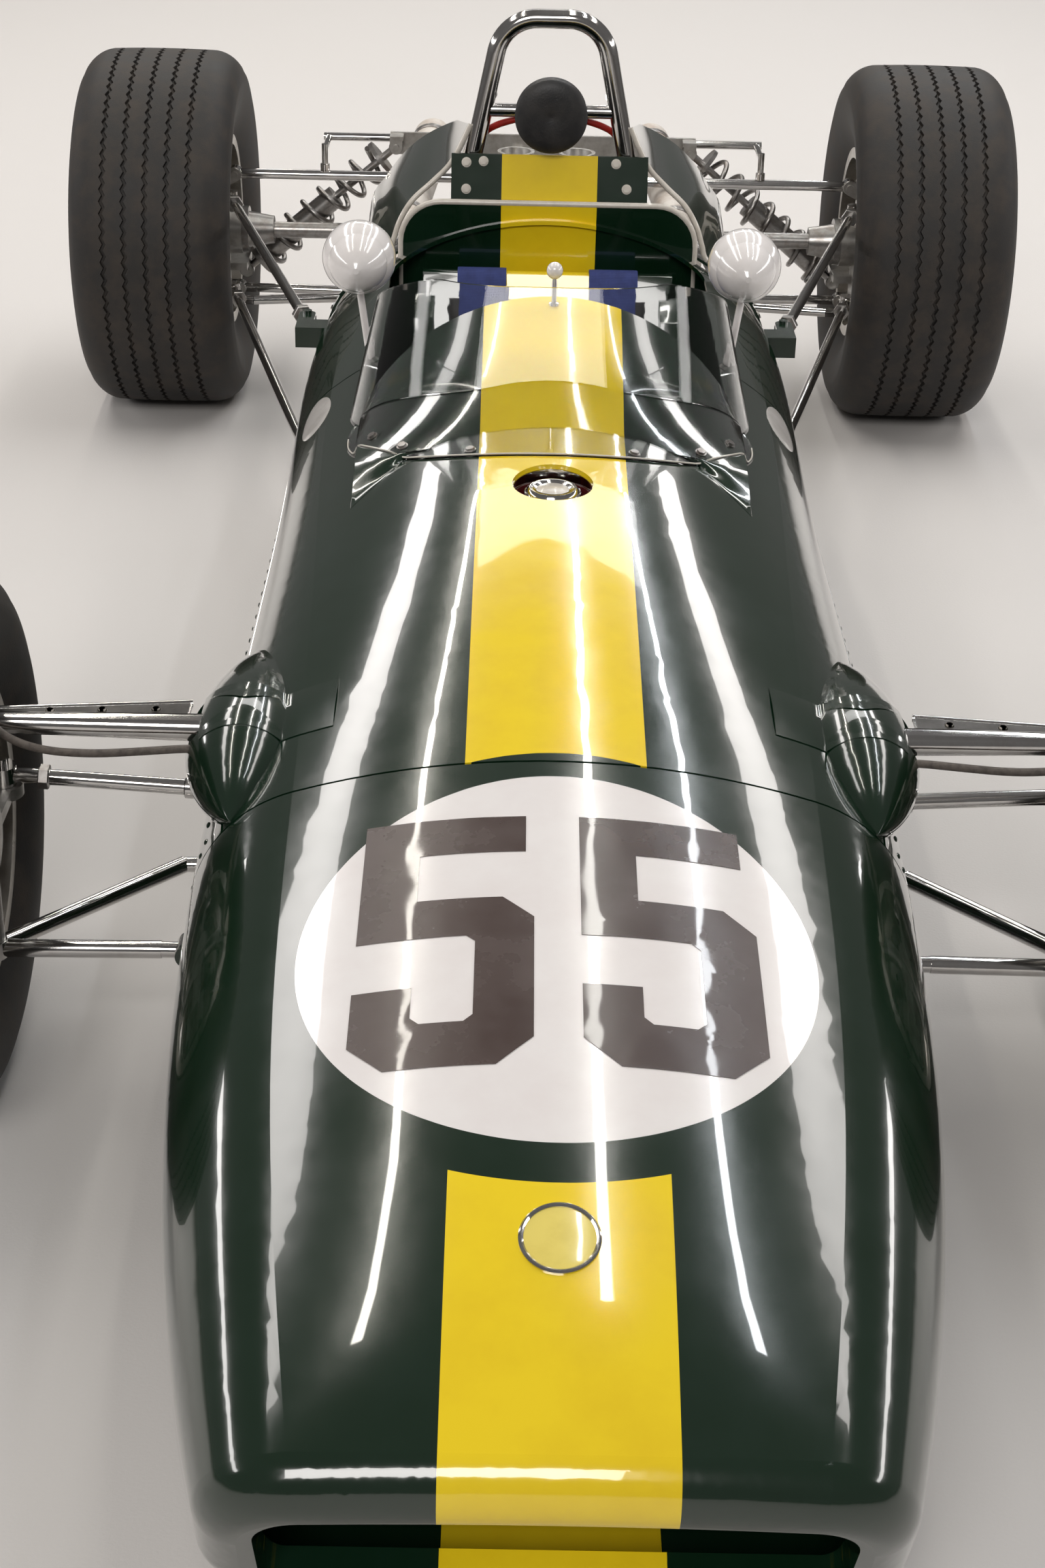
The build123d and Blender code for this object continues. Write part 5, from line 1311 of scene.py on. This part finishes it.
class CAR_OT_stage(bpy.types.Operator):
    """Floor, soft lights and the camera at the photographed angle"""
    bl_idname = "car.stage"
    bl_label = "Stage"

    def floor(self, colour, reach=60):
        """Wide pale floor with a fine nap."""
        mesh = bpy.data.meshes.new("floor")
        corners = ((-1, -1), (1, -1), (1, 1), (-1, 1))
        mesh.from_pydata([(reach * x, reach * y, 0) for x, y in corners], [], [(0, 1, 2, 3)])
        floor = add_object("floor", mesh)
        material, tree, shader, position = start_material("floor_carpet")
        nap = [("Vector", position), ("Scale", 260.0), ("Detail", 4.0)]
        fibre = add_node(tree, "ShaderNodeTexNoise", nap)
        add_bump(tree, shader, fibre.outputs["Fac"], 0.3, 0.001)
        set_inputs(shader, Base_Color=(*colour, 1), Roughness=0.9)
        floor.data.materials.append(material)

    def lights(self, power):
        """Tubes overhead, soft strips beside them and two large soft lights."""
        # Name, place, size across and along, share of the power, colour, turn about X and Y in degrees
        rows = (
            ("tube_centre", (0.50, 5.0, 4.7), (0.10, 12.0), 0.40, (1, 0.98, 0.92), (0, 0)),
            ("tube_left", (1.70, 5.0, 4.7), (0.08, 12.0), 0.40, (0.94, 0.97, 1), (0, 0)),
            ("tube_right", (-1.45, 5.0, 4.7), (0.08, 12.0), 0.40, (1, 0.95, 0.86), (0, 0)),
            ("soft_left", (2.90, 4.0, 4.6), (0.60, 10.0), 0.55, (1, 0.96, 0.93), (0, 0)),
            ("soft_right", (-2.70, 4.0, 4.6), (0.60, 10.0), 0.55, (1, 0.96, 0.93), (0, 0)),
            ("wall_left", (4.60, 1.0, 2.0), (0.35, 7.0), 0.30, (1, 0.97, 0.95), (0, 90)),
            ("wall_right", (-4.60, 1.0, 2.0), (0.35, 7.0), 0.30, (1, 0.97, 0.95), (0, -90)),
            ("front", (-1.0, -6.5, 4.8), (3.4, 2.2), 1.10, (1, 0.97, 0.94), (52, 0)),
            ("rear", (0.3, 7.6, 5.6), (3.6, 0.9), 0.14, (1, 0.98, 0.96), (-55, 0)),
        )
        for name, spot, size, share, colour, turn in rows:
            lamp = bpy.data.lights.new(name, "AREA")
            lamp.shape = "RECTANGLE"
            lamp.size, lamp.size_y = size
            lamp.energy = power * share
            lamp.color = colour
            obj = add_object(name, lamp)
            obj.location = spot
            obj.rotation_euler = (math.radians(turn[0]), math.radians(turn[1]), 0)

    def camera(self, scene):
        """Camera at the place and angle of the photograph."""
        focal, sensor, spot, yaw, pitch, roll = 53.9, 36, place(-0.050, -2.18, 1.555), 0.5, 28.3, 1.4
        lens = bpy.data.cameras.new("camera")
        lens.lens = focal
        lens.sensor_width = sensor
        camera = add_object("camera", lens)
        turns = [Matrix.Rotation(math.radians(angle), 4, axis)
                 for angle, axis in ((-yaw, "Z"), (90 - pitch, "X"), (roll, "Z"))]
        camera.matrix_world = Matrix.Translation(spot) @ turns[0] @ turns[1] @ turns[2]
        scene.camera = camera

    def execute(self, context):
        sizes, scene = context.scene.car_stage, context.scene
        self.floor(sizes.floor_colour)
        world = bpy.data.worlds.new("studio")
        scene.world = world
        world.use_nodes = True
        set_inputs(world.node_tree.nodes["Background"], Color=(0.80, 0.77, 0.75, 1), Strength=0.18)
        self.lights(sizes.light_power)
        self.camera(scene)
        scene.view_settings.view_transform = "Standard"
        return {"FINISHED"}


class CAR_PT_panel(bpy.types.Panel):
    """Lists the steps in the sidebar"""
    bl_label = "Racing Car"
    bl_idname = "CAR_PT_panel"
    bl_space_type = "VIEW_3D"
    bl_region_type = "UI"
    bl_category = "Racing Car"

    def draw(self, context):
        for step in OPERATORS:
            self.layout.operator(step.bl_idname)
        for group, _ in GROUPS_OF_SIZES:
            sizes = getattr(context.scene, group)
            for name in sizes.__annotations__:
                self.layout.prop(sizes, name)


OPERATORS = (CAR_OT_finishes, CAR_OT_number, CAR_OT_tyres, CAR_OT_wheels, CAR_OT_rivets, CAR_OT_screen,
             CAR_OT_filler, CAR_OT_badge, CAR_OT_mirrors, CAR_OT_dials, CAR_OT_seat, CAR_OT_trim,
             CAR_OT_cowl_fairings, CAR_OT_blisters, CAR_OT_linkage, CAR_OT_rods, CAR_OT_engine,
             CAR_OT_side_plates, CAR_OT_head_pad, CAR_OT_belts, CAR_OT_headrest, CAR_OT_knob, CAR_OT_stage)
GROUPS_OF_SIZES = (("car_markings", MarkingSizes), ("car_tread", TreadSizes), ("car_fixings", FixingSizes),
                   ("car_stage", StageSizes))


def register():
    """Make the sizes, the steps and the panel known to Blender."""
    for name, group in GROUPS_OF_SIZES:
        bpy.utils.register_class(group)
        setattr(bpy.types.Scene, name, bpy.props.PointerProperty(type=group))
    for kind in OPERATORS + (CAR_PT_panel,):
        bpy.utils.register_class(kind)


def unregister():
    """Take back what register added, in the other order."""
    for kind in reversed(OPERATORS + (CAR_PT_panel,)):
        bpy.utils.unregister_class(kind)
    for name, group in reversed(GROUPS_OF_SIZES):
        delattr(bpy.types.Scene, name)
        bpy.utils.unregister_class(group)


def main():
    """Run every step in order."""
    register()
    for step in OPERATORS:
        section, label = step.bl_idname.split(".")
        getattr(getattr(bpy.ops, section), label)()


if __name__ == "__main__":
    main()
